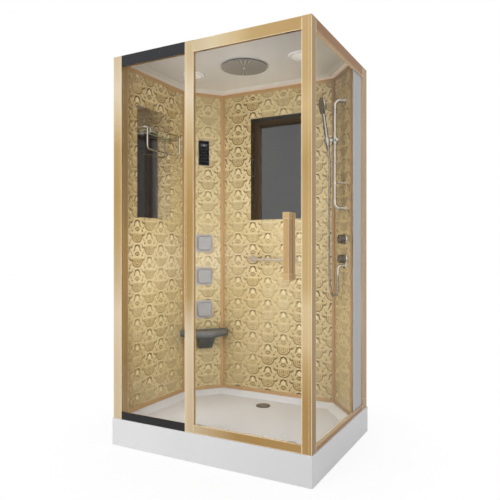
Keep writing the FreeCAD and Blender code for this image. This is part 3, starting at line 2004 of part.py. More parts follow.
def turned_shape(profile, base, axis, across):
    """A solid turned about an axis from a profile of radius and distance along the axis."""
    points = [base + across * radius + axis * along for radius, along in profile]
    wire = Part.makePolygon(points + points[:1])
    return Part.Face(wire).revolve(base, axis, 360)


def make_hand_shower():
    z = slider_z.value
    cup_y = -v.holder_cup_depth.value
    base = Vector(0, cup_y, z)
    up = Vector(0, 0, 1)
    side = Vector(1, 0, 0)
    forward = Vector(0, -1, 0)
    grip_low = -v.handset_grip_bottom.value
    nut_low = grip_low - v.handset_nut_length.value
    head_z = v.handset_head_rise.value
    head_radius = v.handset_head_radius.value
    grip = turned_shape(
        [
            (0, nut_low),
            (v.handset_nut_tip_radius.value, nut_low),
            (v.handset_nut_radius.value, grip_low),
            (v.handset_grip_radius.value, grip_low),
            (v.handset_neck_radius.value, v.handset_grip_top.value),
            (v.handset_neck_radius.value, head_z - head_radius * HALF_SHARE),
            (0, head_z - head_radius * HALF_SHARE),
        ],
        base,
        up,
        side,
    )
    thick = v.handset_head_thickness.value
    front = v.handset_head_forward.value
    head = turned_shape(
        [
            (0, front),
            (head_radius, front),
            (head_radius, front - thick * HALF_SHARE),
            (v.handset_dome_radius.value, front - thick - v.handset_dome_depth.value),
            (0, front - thick - v.handset_dome_depth.value),
        ],
        base + up * head_z,
        forward,
        side,
    )
    shape = lean_about_pivot(grip.fuse(head).removeSplitter())
    return node(shaped("hand_shower", shape, right_corner_wall, v.shower_line_x))


def handset_tail():
    """Where the hose meets the handset, and the way the handset's tail points."""
    lean = math.radians(v.handset_lean.value)
    pivot = Vector(0, -v.tilt_pivot_depth.value, slider_z.value)
    down = Vector(0, math.sin(lean), -math.cos(lean))
    forward = Vector(0, -math.cos(lean), -math.sin(lean))
    ahead = v.holder_cup_depth.value - v.tilt_pivot_depth.value
    length = v.handset_grip_bottom.value + v.handset_nut_length.value + v.running_gap.value
    return pivot + forward * ahead + down * length, down


def make_shower_hose():
    end, down = handset_tail()
    points = [Vector(*point) for point in HOSE_ROUTE] + [end]
    radii = []
    for index in range(1, len(points) - 1):
        before = points[index - 1] - points[index]
        after = points[index + 1] - points[index]
        half_turn = (math.pi - before.getAngle(after)) / 2
        shorter = min(before.Length, after.Length)
        radii.append(HOSE_ARC_SHARE * shorter / math.tan(half_turn))
    path = round_path(points, radii)
    ring = Part.Wire(Part.makeCircle(v.hose_radius.value, points[0], points[1] - points[0]))
    hose = path.makePipeShell([ring], True, False)
    expected = math.pi * v.hose_radius.value ** 2 * path.Length
    print("hose length %.1f mm" % path.Length)
    print("hose radii " + " ".join("%.0f" % radius for radius in radii))
    print("hose volume over section times length %.4f" % (hose.Volume / expected))
    return node(shaped("shower_hose", hose, right_corner_wall, v.shower_line_x))


# Concealed mixer


def make_mixer_valve():
    """The brass body behind the wall: two spindles, the hose outlet and two collared inlets."""
    x = v.shower_line_x.value
    half = v.valve_depth.value / 2
    back = v.panel_thickness.value
    low = (outlet_z - v.valve_bottom_drop).value
    high = (upper_knob_z + v.valve_top_rise).value
    right = x + half
    solid = Part.makeBox(
        v.valve_width.value,
        half * 2,
        high - low,
        Vector(right - v.valve_width.value, back, low),
    )
    forward = Vector(0, -1, 0)
    spindle_length = back + v.escutcheon_thickness.value + v.spindle_length.value
    shapes = [
        Part.makeCylinder(
            v.spindle_radius.value, spindle_length, Vector(x, back, height.value), forward
        )
        for height in (upper_knob_z, lower_knob_z)
    ]
    outlet_start = Vector(x, back, outlet_z.value)
    shapes.append(Part.makeCylinder(v.outlet_radius.value, back, outlet_start, forward))
    wall = right_corner_wall
    turn = Placement(Vector(0, 0, 0), Rotation(Vector(0, 0, 1), -wall.turn.value))
    backwards = turn.multVec(Vector(0, 1, 0))
    inlet_x = right - v.valve_width.value + v.collar_radius.value
    y = wall.point(as_size(inlet_x), as_size(back + half))[1].value
    to_shoulder = v.supply_back_y.value - v.inlet_length.value - y
    for height in (upper_knob_z - v.supply_hot_drop, lower_knob_z + v.supply_cold_rise):
        centre = Vector(inlet_x, back + half, height.value)
        shoulder = centre + backwards * to_shoulder
        shapes.append(
            Part.makeCylinder(v.collar_radius.value, to_shoulder, centre, backwards)
        )
        shapes.append(
            Part.makeCylinder(v.inlet_radius.value, v.inlet_length.value, shoulder, backwards)
        )
    print("inlets at x %.3f" % wall.point(as_size(inlet_x), as_size(back + half))[0].value)
    return node(shaped("mixer_valve", solid.fuse(shapes).removeSplitter(), wall))


def make_mixer_trim():
    """Two round plates behind the knobs, and the hose outlet with its rosette."""
    pieces = []
    spindle = v.spindle_radius + v.running_gap
    for height in (upper_knob_z, lower_knob_z):
        plate = turned_off_wall(
            "escutcheon",
            [
                (spindle, ZERO),
                (v.escutcheon_radius, ZERO),
                (v.escutcheon_radius - v.escutcheon_thickness / 2, -v.escutcheon_thickness),
                (spindle, -v.escutcheon_thickness),
            ],
        )
        pieces.append(on_wall(plate, right_corner_wall, v.shower_line_x, height))
    off = -v.outlet_stand_off.value
    z = outlet_z.value
    elbow = bent_bar(
        [Vector(0, 0, z), Vector(0, off, z), Vector(0, off, (outlet_z - v.outlet_reach).value)],
        v.outlet_bend.value,
        v.outlet_radius.value,
    )
    rosette = Part.makeCylinder(
        v.outlet_rosette_radius.value,
        v.rosette_thickness.value,
        Vector(0, 0, z),
        Vector(0, -1, 0),
    )
    outlet = shaped(
        "hose_outlet", elbow.fuse(rosette).removeSplitter(), right_corner_wall, v.shower_line_x
    )
    pieces.append(outlet)
    return group("mixer_trim", pieces)


def make_knob(label, radius, height):
    """A knob on a spindle, bevelled in front."""
    near = v.escutcheon_thickness + v.knob_stand_off * HALF_SHARE
    far = near + v.knob_depth
    socket = v.spindle_radius + v.spindle_socket_gap
    socket_end = v.escutcheon_thickness + v.spindle_length + v.running_gap
    body = turned_off_wall(
        label,
        [
            (socket, -near),
            (radius, -near),
            (radius, -(far - v.knob_edge)),
            (radius - v.knob_edge, -far),
            (ZERO, -far),
            (ZERO, -socket_end),
            (socket, -socket_end),
        ],
    )
    return node(on_wall(body, right_corner_wall, v.shower_line_x, height))


def make_knobs():
    make_knob("flow_knob", v.upper_knob_radius, upper_knob_z)
    make_knob("temperature_knob", v.lower_knob_radius, lower_knob_z)


# Sliding door


def make_door_glass():
    body = slab(
        "door_glass",
        door_left_x,
        door_right_x,
        door_y,
        door_back_y,
        door_bottom_z,
        door_top_z,
    )
    return node(body)


def hanger_places():
    return door_left_x + v.hanger_inset, door_right_x - v.hanger_inset


roller_z = (
    v.cabin_height
    - v.track_ledge_drop
    + v.rail_wall
    + v.track_ridge_height
    + v.roller_groove_radius
    + v.running_gap
)


def door_hanger(x):
    """A plate on the glass that carries a roller, with its axle, clamp plate and screws."""
    half = v.hanger_width / 2
    top = roller_z + v.roller_radius * HALF_SHARE
    low = top - v.hanger_height
    body = new_body("hanger")
    plate = rectangle(sketch(body, "XZ_Plane", -hanger_y), x - half, x + half, low, top)
    pad(body, plate, v.hanger_plate, backwards=True)
    ridge_middle = track_back_y - v.rail_wall / 2
    front = ridge_middle - v.roller_width / 2 - v.running_gap
    axle = circle(sketch(body, "XZ_Plane", -hanger_y), x, roller_z, v.axle_radius)
    pad(body, axle, hanger_y - front)
    head = circle(sketch(body, "XZ_Plane", -front), x, roller_z, v.axle_head_radius)
    pad(body, head, v.axle_head_length)
    shoulder = circle(sketch(body, "XZ_Plane", -hanger_y), x, roller_z, v.axle_head_radius)
    pad(body, shoulder, hanger_y - ridge_middle - v.roller_width / 2 - v.running_gap)
    clamp_low = low
    clamp = slab(
        "clamp",
        x - half,
        x + half,
        door_back_y,
        door_back_y + v.clamp_plate,
        clamp_low,
        clamp_low + v.clamp_height,
    )
    return [body, clamp]


def make_door_hangers():
    pieces = []
    for x in hanger_places():
        pieces += door_hanger(x)
    return group("door_hangers", pieces)


def make_roller(label, x):
    """A grooved roller that runs on the track's ridge."""
    half = v.roller_width / 2
    groove_half = v.roller_groove_width / 2
    profile = [
        (v.roller_bore_radius, -half),
        (v.roller_radius, -half),
        (v.roller_radius, -groove_half - groove_half),
        (v.roller_groove_radius, -groove_half),
        (v.roller_groove_radius, groove_half),
        (v.roller_radius, groove_half + groove_half),
        (v.roller_radius, half),
        (v.roller_bore_radius, half),
    ]
    body = turned_off_wall(label, profile)
    return node(place(body, x, track_back_y - v.rail_wall / 2, roller_z))


def make_rollers():
    left, right = hanger_places()
    make_roller("left_roller", left)
    make_roller("right_roller", right)


def make_door_guides():
    """Blocks that grip the foot of the glass and run in the bottom rail's channel."""
    middle = door_y + v.glass_thickness / 2
    half = v.guide_channel_width / 2 - v.guide_side_gap
    low = door_bottom_z - v.guide_drop
    high = door_bottom_z + v.guide_grip
    corners = [
        (middle - half, low),
        (middle + half, low),
        (middle + half, high),
        (door_back_y, high),
        (door_back_y, door_bottom_z),
        (door_y, door_bottom_z),
        (door_y, high),
        (middle - half, high),
    ]
    pieces = []
    for x in (door_left_x + v.guide_inset, door_right_x - v.guide_inset):
        body = new_body("guide")
        drawing = outline(sketch(body, "YZ_Plane", x - v.guide_length / 2), corners)
        pad(body, drawing, v.guide_length)
        pieces.append(body)
    return group("door_guides", pieces)


def make_door_seals():
    """A closing seal on the right edge, a brush seal on the left and a drip strip at the foot."""
    t = v.seal_thickness
    wrap = v.side_seal_wrap
    low = v.tray_height + v.seal_bottom_rise
    high = v.cabin_height - v.seal_top_drop
    x = door_right_x
    right = new_body("closing_seal")
    corners = [
        (x - wrap, door_y - t),
        (right_post_x - v.running_gap, door_y - t),
        (right_post_x - v.running_gap, door_back_y + t),
        (x - wrap, door_back_y + t),
        (x - wrap, door_back_y),
        (x, door_back_y),
        (x, door_y),
        (x - wrap, door_y),
    ]
    pad(right, outline(sketch(right, "XY_Plane", low), corners), high - low)
    x = door_left_x
    brush_y = front_y + v.middle_post_depth + v.brush_gap
    left = new_body("brush_seal")
    corners = [
        (x - t, door_back_y + t),
        (x - t, brush_y),
        (x, brush_y),
        (x, door_y - t),
        (x + wrap, door_y - t),
        (x + wrap, door_y),
        (x, door_y),
        (x, door_back_y),
        (x + wrap, door_back_y),
        (x + wrap, door_back_y + t),
    ]
    pad(left, outline(sketch(left, "XY_Plane", low), corners), high - low)
    gap = v.guide_inset + v.guide_length / 2 + v.running_gap
    drip = slab(
        "drip_strip",
        door_left_x + gap,
        door_right_x - gap,
        door_y - t,
        door_y,
        door_bottom_z,
        door_bottom_z + v.drip_seal_height,
    )
    return group("door_seals", [right, left, drip])


def make_door_handle():
    """A square handle with a block at each end, in two halves that clamp the glass."""
    x = right_post_x + v.right_post_width - v.handle_right_inset
    half = v.handle_width / 2
    low = v.handle_middle_height - v.handle_length / 2
    high = low + v.handle_length
    z0 = low + v.handle_end_height
    z1 = high - v.handle_end_height
    recess = v.handle_recess
    pieces = []
    for y, way, depth in (
        (door_y, -1, v.handle_depth),
        (door_back_y, 1, v.inner_handle_depth),
    ):
        far = y + depth * way
        body = new_body("handle_half")
        pad(
            body,
            rectangle(sketch(body, "YZ_Plane", x - half), y, far, low, high),
            v.handle_width,
        )
        sides = sketch(body, "XZ_Plane", -y)
        rectangle(sides, x - half - v.overrun, x - half + recess, z0, z1)
        rectangle(sides, x + half - recess, x + half + v.overrun, z0, z1)
        pocket(body, sides, depth, backwards=way < 0)
        face = sketch(body, "XZ_Plane", -far)
        rectangle(face, x - half, x + half, z0, z1)
        pocket(body, face, recess, backwards=way > 0)
        pieces.append(body)
    return group("door_handle", pieces)


def build():
    make_tray()
    make_tray_frame()
    make_tray_feet()
    make_drain_flange()
    make_drain_cover()
    make_drain_trap()
    make_front_left_post()
    make_middle_post()
    make_front_right_post()
    make_rear_posts()
    make_front_top_rail()
    make_front_bottom_rail()
    make_right_rails()
    make_outer_rails()
    make_fixed_glass()
    make_fixed_glass_bands()
    make_side_glass()
    make_side_filler_panel()
    make_left_wall_panel()
    make_corner_panels()
    make_back_wall_panel()
    make_wall_trim_strips()
    make_mirrors()
    make_roof_panel()
    make_light_bezels()
    make_light_lenses()
    make_overhead_arm()
    make_overhead_head()
    make_nozzle_plate()
    make_control_panel()
    make_jet_sockets()
    make_jet_faces()
    make_corner_seat()
    make_shelf()
    make_back_grab_bar()
    make_riser_rod()
    make_riser_brackets()
    make_rod_slider()
    make_handset_holder()
    make_hand_shower()
    make_shower_hose()
    make_mixer_valve()
    make_mixer_trim()
    make_knobs()
    make_door_glass()
    make_door_handle()
    make_door_hangers()
    make_rollers()
    make_door_guides()
    make_door_seals()


def check():
    """Stops the script if a feature failed, a cut took nothing away, or a shape is not sound."""
    document.recompute()
    faults = []
    for item in document.Objects:
        if "Invalid" in item.State or "Error" in item.State:
            faults.append("%s failed: %s" % (item.Label, item.State))
        if item.TypeId in ("PartDesign::Pocket", "PartDesign::SubtractiveLoft"):
            cut = item.BaseFeature.Shape.Volume - item.Shape.Volume
            if cut < v.rail_wall.value ** 3:
                faults.append("%s cuts nothing in %s" % (item.Label, item.getParent().Label))
    for piece in nodes:
        if piece.Shape.isNull() or not piece.Shape.isValid() or not piece.Shape.Solids:
            faults.append("%s has no sound shape" % piece.Label)
    if faults:
        raise RuntimeError("; ".join(faults))


build()
check()
os.makedirs("parts", exist_ok=True)
for piece in nodes:
    piece.Shape.exportStep("parts/%s.step" % piece.Label)
print("%d nodes, %d solids" % (len(nodes), sum(len(piece.Shape.Solids) for piece in nodes)))
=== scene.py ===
import json
import math

import bpy
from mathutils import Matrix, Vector


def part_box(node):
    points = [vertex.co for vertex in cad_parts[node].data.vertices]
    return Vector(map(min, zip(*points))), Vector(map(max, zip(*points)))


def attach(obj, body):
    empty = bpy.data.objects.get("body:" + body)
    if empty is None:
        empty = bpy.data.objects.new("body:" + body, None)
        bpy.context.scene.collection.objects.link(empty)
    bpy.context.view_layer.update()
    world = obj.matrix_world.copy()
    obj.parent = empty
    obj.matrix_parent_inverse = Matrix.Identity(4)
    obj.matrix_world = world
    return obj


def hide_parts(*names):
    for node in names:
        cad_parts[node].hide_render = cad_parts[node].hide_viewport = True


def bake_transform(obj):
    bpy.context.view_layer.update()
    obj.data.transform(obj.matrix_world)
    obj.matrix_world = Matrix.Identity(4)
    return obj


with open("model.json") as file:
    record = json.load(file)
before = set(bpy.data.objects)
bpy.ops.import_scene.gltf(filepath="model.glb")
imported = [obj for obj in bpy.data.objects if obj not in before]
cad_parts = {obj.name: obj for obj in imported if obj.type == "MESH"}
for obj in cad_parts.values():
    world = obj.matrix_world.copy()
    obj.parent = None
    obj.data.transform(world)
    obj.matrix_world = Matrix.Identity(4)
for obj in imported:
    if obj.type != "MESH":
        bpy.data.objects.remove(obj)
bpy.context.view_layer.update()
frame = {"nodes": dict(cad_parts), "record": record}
NODES = frame["nodes"]
SLOT_OF = {row["node"]: row["material_slot"] for row in frame["record"]["subparts"]}
MM = 1000  # millimetres in a metre

# Faces of the wall panels that look into the cabin, in metres
LEFT_FACE = -0.575
LEFT_FACE_FRONT = -0.3887
BACK_FACE = 0.42
BACK_HALF = 0.4
CORNER_FRONT = 0.206
WALL_LOW = 0.15
WALL_HIGH = 2.147
CORNER_RUN_X = -LEFT_FACE - BACK_HALF
CORNER_RUN_Y = BACK_FACE - CORNER_FRONT
CORNER_LENGTH = round(math.hypot(CORNER_RUN_X, CORNER_RUN_Y), 5)
CORNER_TURN = math.atan2(CORNER_RUN_Y, CORNER_RUN_X)
SINE = math.sin(CORNER_TURN)
COSINE = math.cos(CORNER_TURN)

# Each wall's start point, its direction, the direction into the cabin and its length
WALLS = {
    "left": ((LEFT_FACE, LEFT_FACE_FRONT), (0.0, 1.0), (1.0, 0.0), CORNER_FRONT - LEFT_FACE_FRONT),
    "left_corner": ((LEFT_FACE, CORNER_FRONT), (COSINE, SINE), (SINE, -COSINE), CORNER_LENGTH),
    "back": ((-BACK_HALF, BACK_FACE), (1.0, 0.0), (0.0, -1.0), 2 * BACK_HALF),
    "right_corner": ((BACK_HALF, BACK_FACE), (COSINE, -SINE), (-SINE, -COSINE), CORNER_LENGTH),
}
SEAT_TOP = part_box("corner_seat")[1][2]

# Rings of nozzles under the overhead shower, in metres
NOZZLE_RING = 0.0135
NOZZLE_RINGS = 8
NOZZLE_SPOKES = 28

# Nearly all values of a noise lie between these two
NOISE_LOW = 0.3
NOISE_HIGH = 0.7


def linear(colour):
    """Linear light values of a display colour given from 0 to 255."""
    values = []
    for part in colour:
        part = part / 255
        values.append(part / 12.92 if part <= 0.04045 else ((part + 0.055) / 1.055) ** 2.4)
    return tuple(values) + (1.0,)


class NodeTree:
    """A node tree with short ways to add to it. Display colours go from 0 to 255."""

    def __init__(self, tree, output, place):
        self.tree = tree
        self.tree.nodes.clear()
        self.output = self.node("Output" + output)
        self.place = self.node("TexCoord").outputs[place]

    def node(self, kind, **values):
        made = self.tree.nodes.new("ShaderNode" + kind)
        for key, value in values.items():
            setattr(made, key, value)
        return made

    def link(self, source, target):
        self.tree.links.new(source, target)

    def put(self, socket, value):
        if isinstance(value, bpy.types.NodeSocket):
            self.link(value, socket)
        else:
            socket.default_value = value

    def math(self, operation, a, b=0.0, clamp=False):
        made = self.node("Math", operation=operation, use_clamp=clamp)
        self.put(made.inputs[0], a)
        self.put(made.inputs[1], b)
        return made.outputs[0]

    def product(self, *factors):
        result = factors[0]
        for factor in factors[1:]:
            result = self.math("MULTIPLY", result, factor)
        return result

    def away(self, value, centre):
        """How far a value is from a centre, on either side."""
        return self.math("ABSOLUTE", self.math("SUBTRACT", value, centre))

    def dot(self, a, b):
        made = self.node("VectorMath", operation="DOT_PRODUCT")
        self.put(made.inputs[0], a)
        self.put(made.inputs[1], b)
        return made.outputs["Value"]

    def normal(self):
        return self.node("NewGeometry").outputs["Normal"]

    def axis(self, letter, source=None):
        made = self.node("SeparateXYZ")
        self.link(source or self.place, made.inputs[0])
        return made.outputs[letter]

    def noise(self, scale, stretch=(1.0, 1.0, 1.0), detail=3.0, rough=0.5):
        stretched = self.node("Mapping")
        self.link(self.place, stretched.inputs["Vector"])
        stretched.inputs["Scale"].default_value = stretch
        made = self.node("TexNoise")
        self.link(stretched.outputs[0], made.inputs["Vector"])
        made.inputs["Scale"].default_value = scale
        made.inputs["Detail"].default_value = detail
        made.inputs["Roughness"].default_value = rough
        return made.outputs[0]

    def span(self, value, low, high, start=0.0, end=1.0):
        """Goes from start to end while the value goes from low to high, and stays there."""
        made = self.node("MapRange")
        self.put(made.inputs["Value"], value)
        made.inputs["From Min"].default_value = low
        made.inputs["From Max"].default_value = high
        made.inputs["To Min"].default_value = start
        made.inputs["To Max"].default_value = end
        return made.outputs["Result"]

    def vary(self, noise, start=0.0, end=1.0):
        """A number that follows a noise from start to end."""
        return self.span(noise, NOISE_LOW, NOISE_HIGH, start, end)

    def ramp(self, value, stops):
        """A colour that changes with a value, through stops of a value and a display colour."""
        low, high = stops[0][0], stops[-1][0]
        made = self.node("ValToRGB")
        self.put(made.inputs[0], self.span(value, low, high))
        points = made.color_ramp.elements
        while len(points) < len(stops):
            points.new(1.0)
        for point, (place, colour) in zip(points, stops):
            point.position = (place - low) / (high - low)
            point.color = linear(colour)
        return made.outputs[0]

    def mix(self, factor, a, b):
        made = self.node("Mix", data_type="RGBA")
        self.put(made.inputs[0], factor)
        self.put(made.inputs[6], a)
        self.put(made.inputs[7], b)
        return made.outputs[2]

    def blotch(self, noise, low, high):
        """A colour between two display colours that follows a noise."""
        return self.mix(self.vary(noise), linear(low), linear(high))

    def tint(self, colour, tone, *factors):
        """A colour moved toward a display colour, as far as the product of the factors says."""
        return self.mix(self.product(*factors), colour, linear(tone))

    def bump(self, height, distance, strength=1.0):
        made = self.node("Bump")
        self.put(made.inputs["Height"], height)
        made.inputs["Distance"].default_value = distance
        made.inputs["Strength"].default_value = strength
        return made.outputs[0]

    def edges(self, radius):
        """1 close to the surface's sharp edges and 0 away from them."""
        bevel = self.node("Bevel", samples=6)
        bevel.inputs["Radius"].default_value = radius
        return self.span(self.dot(bevel.outputs[0], self.normal()), 0.998, 0.93)

    def principled(self, colour, roughness, metallic=0.0, normal=None, **more):
        made = self.node("BsdfPrincipled")
        self.put(made.inputs["Base Color"], colour)
        self.put(made.inputs["Roughness"], roughness)
        self.put(made.inputs["Metallic"], metallic)
        if normal is not None:
            self.link(normal, made.inputs["Normal"])
        for key, value in more.items():
            self.put(made.inputs[key.replace("_", " ")], value)
        return made.outputs[0]

    def mix_shader(self, factor, a, b):
        made = self.node("MixShader")
        self.put(made.inputs[0], factor)
        self.link(a, made.inputs[1])
        self.link(b, made.inputs[2])
        return made.outputs[0]

    def looked_at(self):
        """1 where the camera, glass or metal looks, and 0 where light falls on the part."""
        rays = self.node("LightPath").outputs
        seen = self.math("MAXIMUM", rays["Is Camera Ray"], rays["Is Glossy Ray"])
        return self.math("MAXIMUM", seen, rays["Is Transmission Ray"])


class Shader(NodeTree):
    """A material's node tree, placed by the piece's own coordinates in metres."""

    def __init__(self, name):
        self.material = bpy.data.materials.new(name)
        self.material.use_nodes = True
        super().__init__(self.material.node_tree, "Material", "Object")

    def finish(self, surface):
        self.link(surface, self.output.inputs["Surface"])
        return self.material


def plain(
    name,
    low,
    high,
    rough=(0.3, 0.4),
    metallic=0.0,
    scale=9.0,
    depth=0.00004,
    coat=0.0,
    specular=0.5,
):
    """A surface with soft colour and roughness variation and a fine grain."""
    s = Shader(name)
    colour = s.blotch(s.noise(scale), low, high)
    shine = s.vary(s.noise(scale * 3.1, detail=4.0), *rough)
    grain = s.bump(s.noise(900.0, detail=2.0), depth)
    surface = s.principled(
        colour, shine, metallic, grain, Coat_Weight=coat, Specular_IOR_Level=specular
    )
    return s.finish(surface)


# Front colour of the gold frame by height in metres: satin metal under two soft bands of painted
# light
GOLD_PAINTED_LIGHT_BANDS = (
    (0.15, (208, 190, 160)),
    (0.45, (213, 195, 164)),
    (0.74, (223, 206, 178)),
    (0.94, (202, 180, 142)),
    (1.16, (188, 159, 106)),
    (1.4, (179, 148, 90)),
    (1.66, (186, 156, 104)),
    (1.86, (212, 190, 150)),
    (2.0, (222, 206, 180)),
    (2.17, (200, 178, 140)),
)
# The same painted light bands on the right post by height, and on the front top rail along X
RIGHT_PAINTED_LIGHT_BANDS = (
    (0.4, (166, 132, 78)),
    (0.56, (192, 162, 111)),
    (0.65, (214, 188, 144)),
    (0.82, (219, 196, 153)),
    (0.92, (198, 169, 118)),
    (1.3, (190, 159, 106)),
    (1.5, (178, 147, 90)),
    (1.76, (207, 181, 132)),
    (1.9, (193, 164, 117)),
)
TOP_RAIL_PAINTED_LIGHT_BANDS = (
    (-0.1, (196, 176, 147)),
    (0.05, (213, 197, 164)),
    (0.2, (206, 181, 137)),
    (0.28, (188, 160, 110)),
    (0.5, (184, 153, 103)),
)
FLUTE_PITCH = 0.022
GOLD_LIGHT = (240, 212, 168)


def gold_front(s, x, z, top_rail):
    """Front tone: painted light bands, painted shade at the waist and low on the right, painted
    glow high left.
    """
    slope = s.product(s.span(x, -0.6, 0.6, 0.0, 0.24), s.span(z, 1.1, 1.6))
    colour = s.ramp(s.math("ADD", z, slope), GOLD_PAINTED_LIGHT_BANDS)
    # Painted shade across the waist, around X -0.12
    middle = s.span(s.away(x, -0.12), 0.12, 0.04)
    waist = s.span(s.away(z, 1.06), 0.42, 0.2, 0.0, 0.85)
    colour = s.tint(colour, (166, 131, 70), middle, waist)
    # Painted shade low on the right
    painted_shade_low_right = s.product(s.span(x, -0.1, 0.2), s.span(z, 0.68, 0.42, 0.0, 0.95))
    colour = s.tint(colour, (160, 124, 66), painted_shade_low_right)
    # Painted glow high on the left
    painted_glow_high_left = s.product(s.span(x, 0.0, -0.6), s.span(z, 1.7, 1.95, 0.0, 0.4))
    colour = s.tint(colour, (230, 220, 200), painted_glow_high_left)
    colour = s.mix(s.span(x, 0.3, 0.5), colour, s.ramp(z, RIGHT_PAINTED_LIGHT_BANDS))
    if top_rail:
        colour = s.mix(s.span(z, 2.0, 2.02), colour, s.ramp(x, TOP_RAIL_PAINTED_LIGHT_BANDS))
    return colour


def gold_side_light_and_shade(s, x, z, normal, low, high, flutes):
    """The frame's sides in painted shade, darker in the flutes, with painted light where they face
    the walls.
    """
    # The sides' colours are painted shade, darker low down
    side = s.mix(s.span(z, 0.75, 0.3), linear(high), linear(low))
    # Painted shade in the flutes
    groove = s.math("SINE", s.product(s.axis("Y"), 2 * math.pi / FLUTE_PITCH))
    side = s.tint(side, (98, 72, 42), s.span(groove, -0.4, 0.6, 0.0, flutes))
    # Painted light on faces turned into the cabin and to the rear
    inward_painted_light = s.span(s.axis("X", normal), 0.5, 0.9)
    side = s.tint(side, GOLD_LIGHT, inward_painted_light, s.span(x, 0.3, 0.1), 0.4)
    return s.tint(side, GOLD_LIGHT, s.span(s.axis("Y", normal), 0.5, 0.9))


def gold(
    name,
    stretch,
    shaded_side_low=(138, 108, 66),
    shaded_side_high=(156, 128, 82),
    flutes=0.0,
    metallic=0.75,
    specular=0.5,
    slot=None,
    top_rail=False,
):
    """Anodised aluminium, brushed along the extrusion, with painted shade on its sides and in its
    flutes.

    With slot as a place along X, the wall of the glazing slot there gets a painted glow as of light
    from the pane.
    """
    s = Shader(name)
    fine = s.noise(900.0, stretch, 3.0, 0.6)
    patch = s.noise(1.3, detail=1.0)
    x = s.axis("X")
    z = s.axis("Z")
    normal = s.normal()
    face = gold_front(s, x, z, top_rail)
    face = s.tint(face, (224, 196, 146), s.span(fine, 0.35, 0.65, 0.0, 0.14))
    face = s.tint(face, (180, 140, 84), s.span(patch, 0.35, 0.65, 0.0, 0.14))
    side = gold_side_light_and_shade(s, x, z, normal, shaded_side_low, shaded_side_high, flutes)
    frontal = s.math("MULTIPLY", s.axis("Y", normal), -1.0, clamp=True)
    # Painted highlight along the edges, weaker at the very top
    rim = s.product(s.edges(0.006), s.span(z, 2.155, 2.166, 0.9, 0.15))
    colour = s.tint(s.mix(frontal, side, face), (255, 236, 200), rim)
    # Painted glow on faces turned to the rear, as bounced light
    painted_bounce_glow = s.span(s.axis("Y", normal), 0.5, 0.9, 0.0, 0.15)
    if slot is not None:
        painted_bounce_glow = s.math("ADD", painted_bounce_glow, s.span(s.away(x, slot), 0.001, 0.0005, 0.0, 0.4))
    surface = s.principled(
        colour,
        s.vary(fine, 0.3, 0.42),
        metallic,
        s.bump(fine, 0.00003, 0.4),
        Specular_IOR_Level=specular,
        Emission_Color=linear(GOLD_LIGHT),
        Emission_Strength=painted_bounce_glow,
    )
    return s.finish(surface)


def chrome(name, tone, rough=(0.05, 0.13), glint=0.4, far=None):
    """Polished metal with a painted highlight: a soft glowing stripe on the side that faces out of
    the front corner.

    With far as a start and an end along Y, it takes a painted reflection of the walls' warm tone
    toward that end.
    """
    s = Shader(name)
    dark = tuple(part * 0.92 for part in tone)
    colour = s.blotch(s.noise(26.0), dark, tone)
    # Painted highlight along the edges
    colour = s.tint(colour, (250, 250, 252), s.edges(0.0012), 0.6)
    if far is not None:
        # Painted reflection of the warm walls toward the far end
        painted_wall_reflection = s.span(s.axis("Y"), *far)
        colour = s.tint(colour, (186, 168, 130), painted_wall_reflection)
        glint = s.product(s.math("SUBTRACT", 1.0, painted_wall_reflection), glint)
    # Painted highlight stripe that glows on the faces turned this way
    front_corner = (0.42, -0.88, 0.22)
    painted_glint_stripe = s.span(s.dot(s.normal(), front_corner), 0.86, 0.98)
    surface = s.principled(
        colour,
        s.vary(s.noise(80.0, detail=5.0), *rough),
        0.95,
        s.bump(s.noise(300.0), 0.00002),
        Emission_Color=linear((255, 252, 246)),
        Emission_Strength=s.product(painted_glint_stripe, glint),
    )
    return s.finish(surface)


def gold_handle(name):
    """Warmer anodised gold, paler on the two end blocks, with painted shade on its sides and a
    painted highlight on its edges.
    """
    s = Shader(name)
    fine = s.noise(700.0, (1.0, 1.0, 0.02), 3.0, 0.6)
    low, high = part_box("door_handle")
    middle = round((low[2] + high[2]) / 2, 3)
    ends = s.math("GREATER_THAN", s.away(s.axis("Z"), middle), 0.13)
    colour = s.blotch(fine, (188, 154, 106), (200, 166, 118))
    colour = s.tint(colour, (210, 182, 134), ends, 0.4)
    # Painted shade on the sides
    side = s.span(s.math("ABSOLUTE", s.axis("X", s.normal())), 0.4, 0.9, 0.0, 0.5)
    colour = s.tint(colour, (182, 142, 94), side)
    # Painted highlight on the edges
    colour = s.tint(colour, (240, 214, 168), s.edges(0.004), 0.8)
    return s.finish(s.principled(colour, s.vary(fine, 0.32, 0.42), 0.6))


def trim(name):
    """Satin strips in a paler gold, with painted shade toward the right corner."""
    s = Shader(name)
    cloud = s.noise(3.0)
    colour = s.blotch(cloud, (196, 162, 116), (208, 172, 126))
    # Painted shade toward the right corner, deeper higher up
    right = s.span(s.axis("X"), 0.3, 0.4)
    colour = s.tint(colour, (142, 108, 68), right, s.span(s.axis("Z"), 0.7, 1.4, 0.5, 0.9))
    return s.finish(s.principled(colour, s.vary(cloud, 0.35, 0.45), 0.4))


def filler(name):
    """Grey coated sheet, with a painted highlight strip along its front and rear edges."""
    s = Shader(name)
    low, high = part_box("side_filler_panel")
    across = s.span(s.axis("Y"), low[1], high[1])
    colour = s.mix(across, linear((156, 160, 158)), linear((176, 172, 175)))
    # Painted highlight along the front and rear edges
    ends = s.math("MAXIMUM", s.span(across, 0.08, 0.03), s.span(across, 0.94, 0.98))
    colour = s.tint(colour, (226, 214, 204), ends)
    cloud = s.noise(4.0, (1.0, 1.0, 0.3))
    colour = s.tint(colour, (182, 184, 186), s.vary(cloud, 0.0, 0.12))
    return s.finish(s.principled(colour, s.vary(cloud, 0.3, 0.42), 0.15))


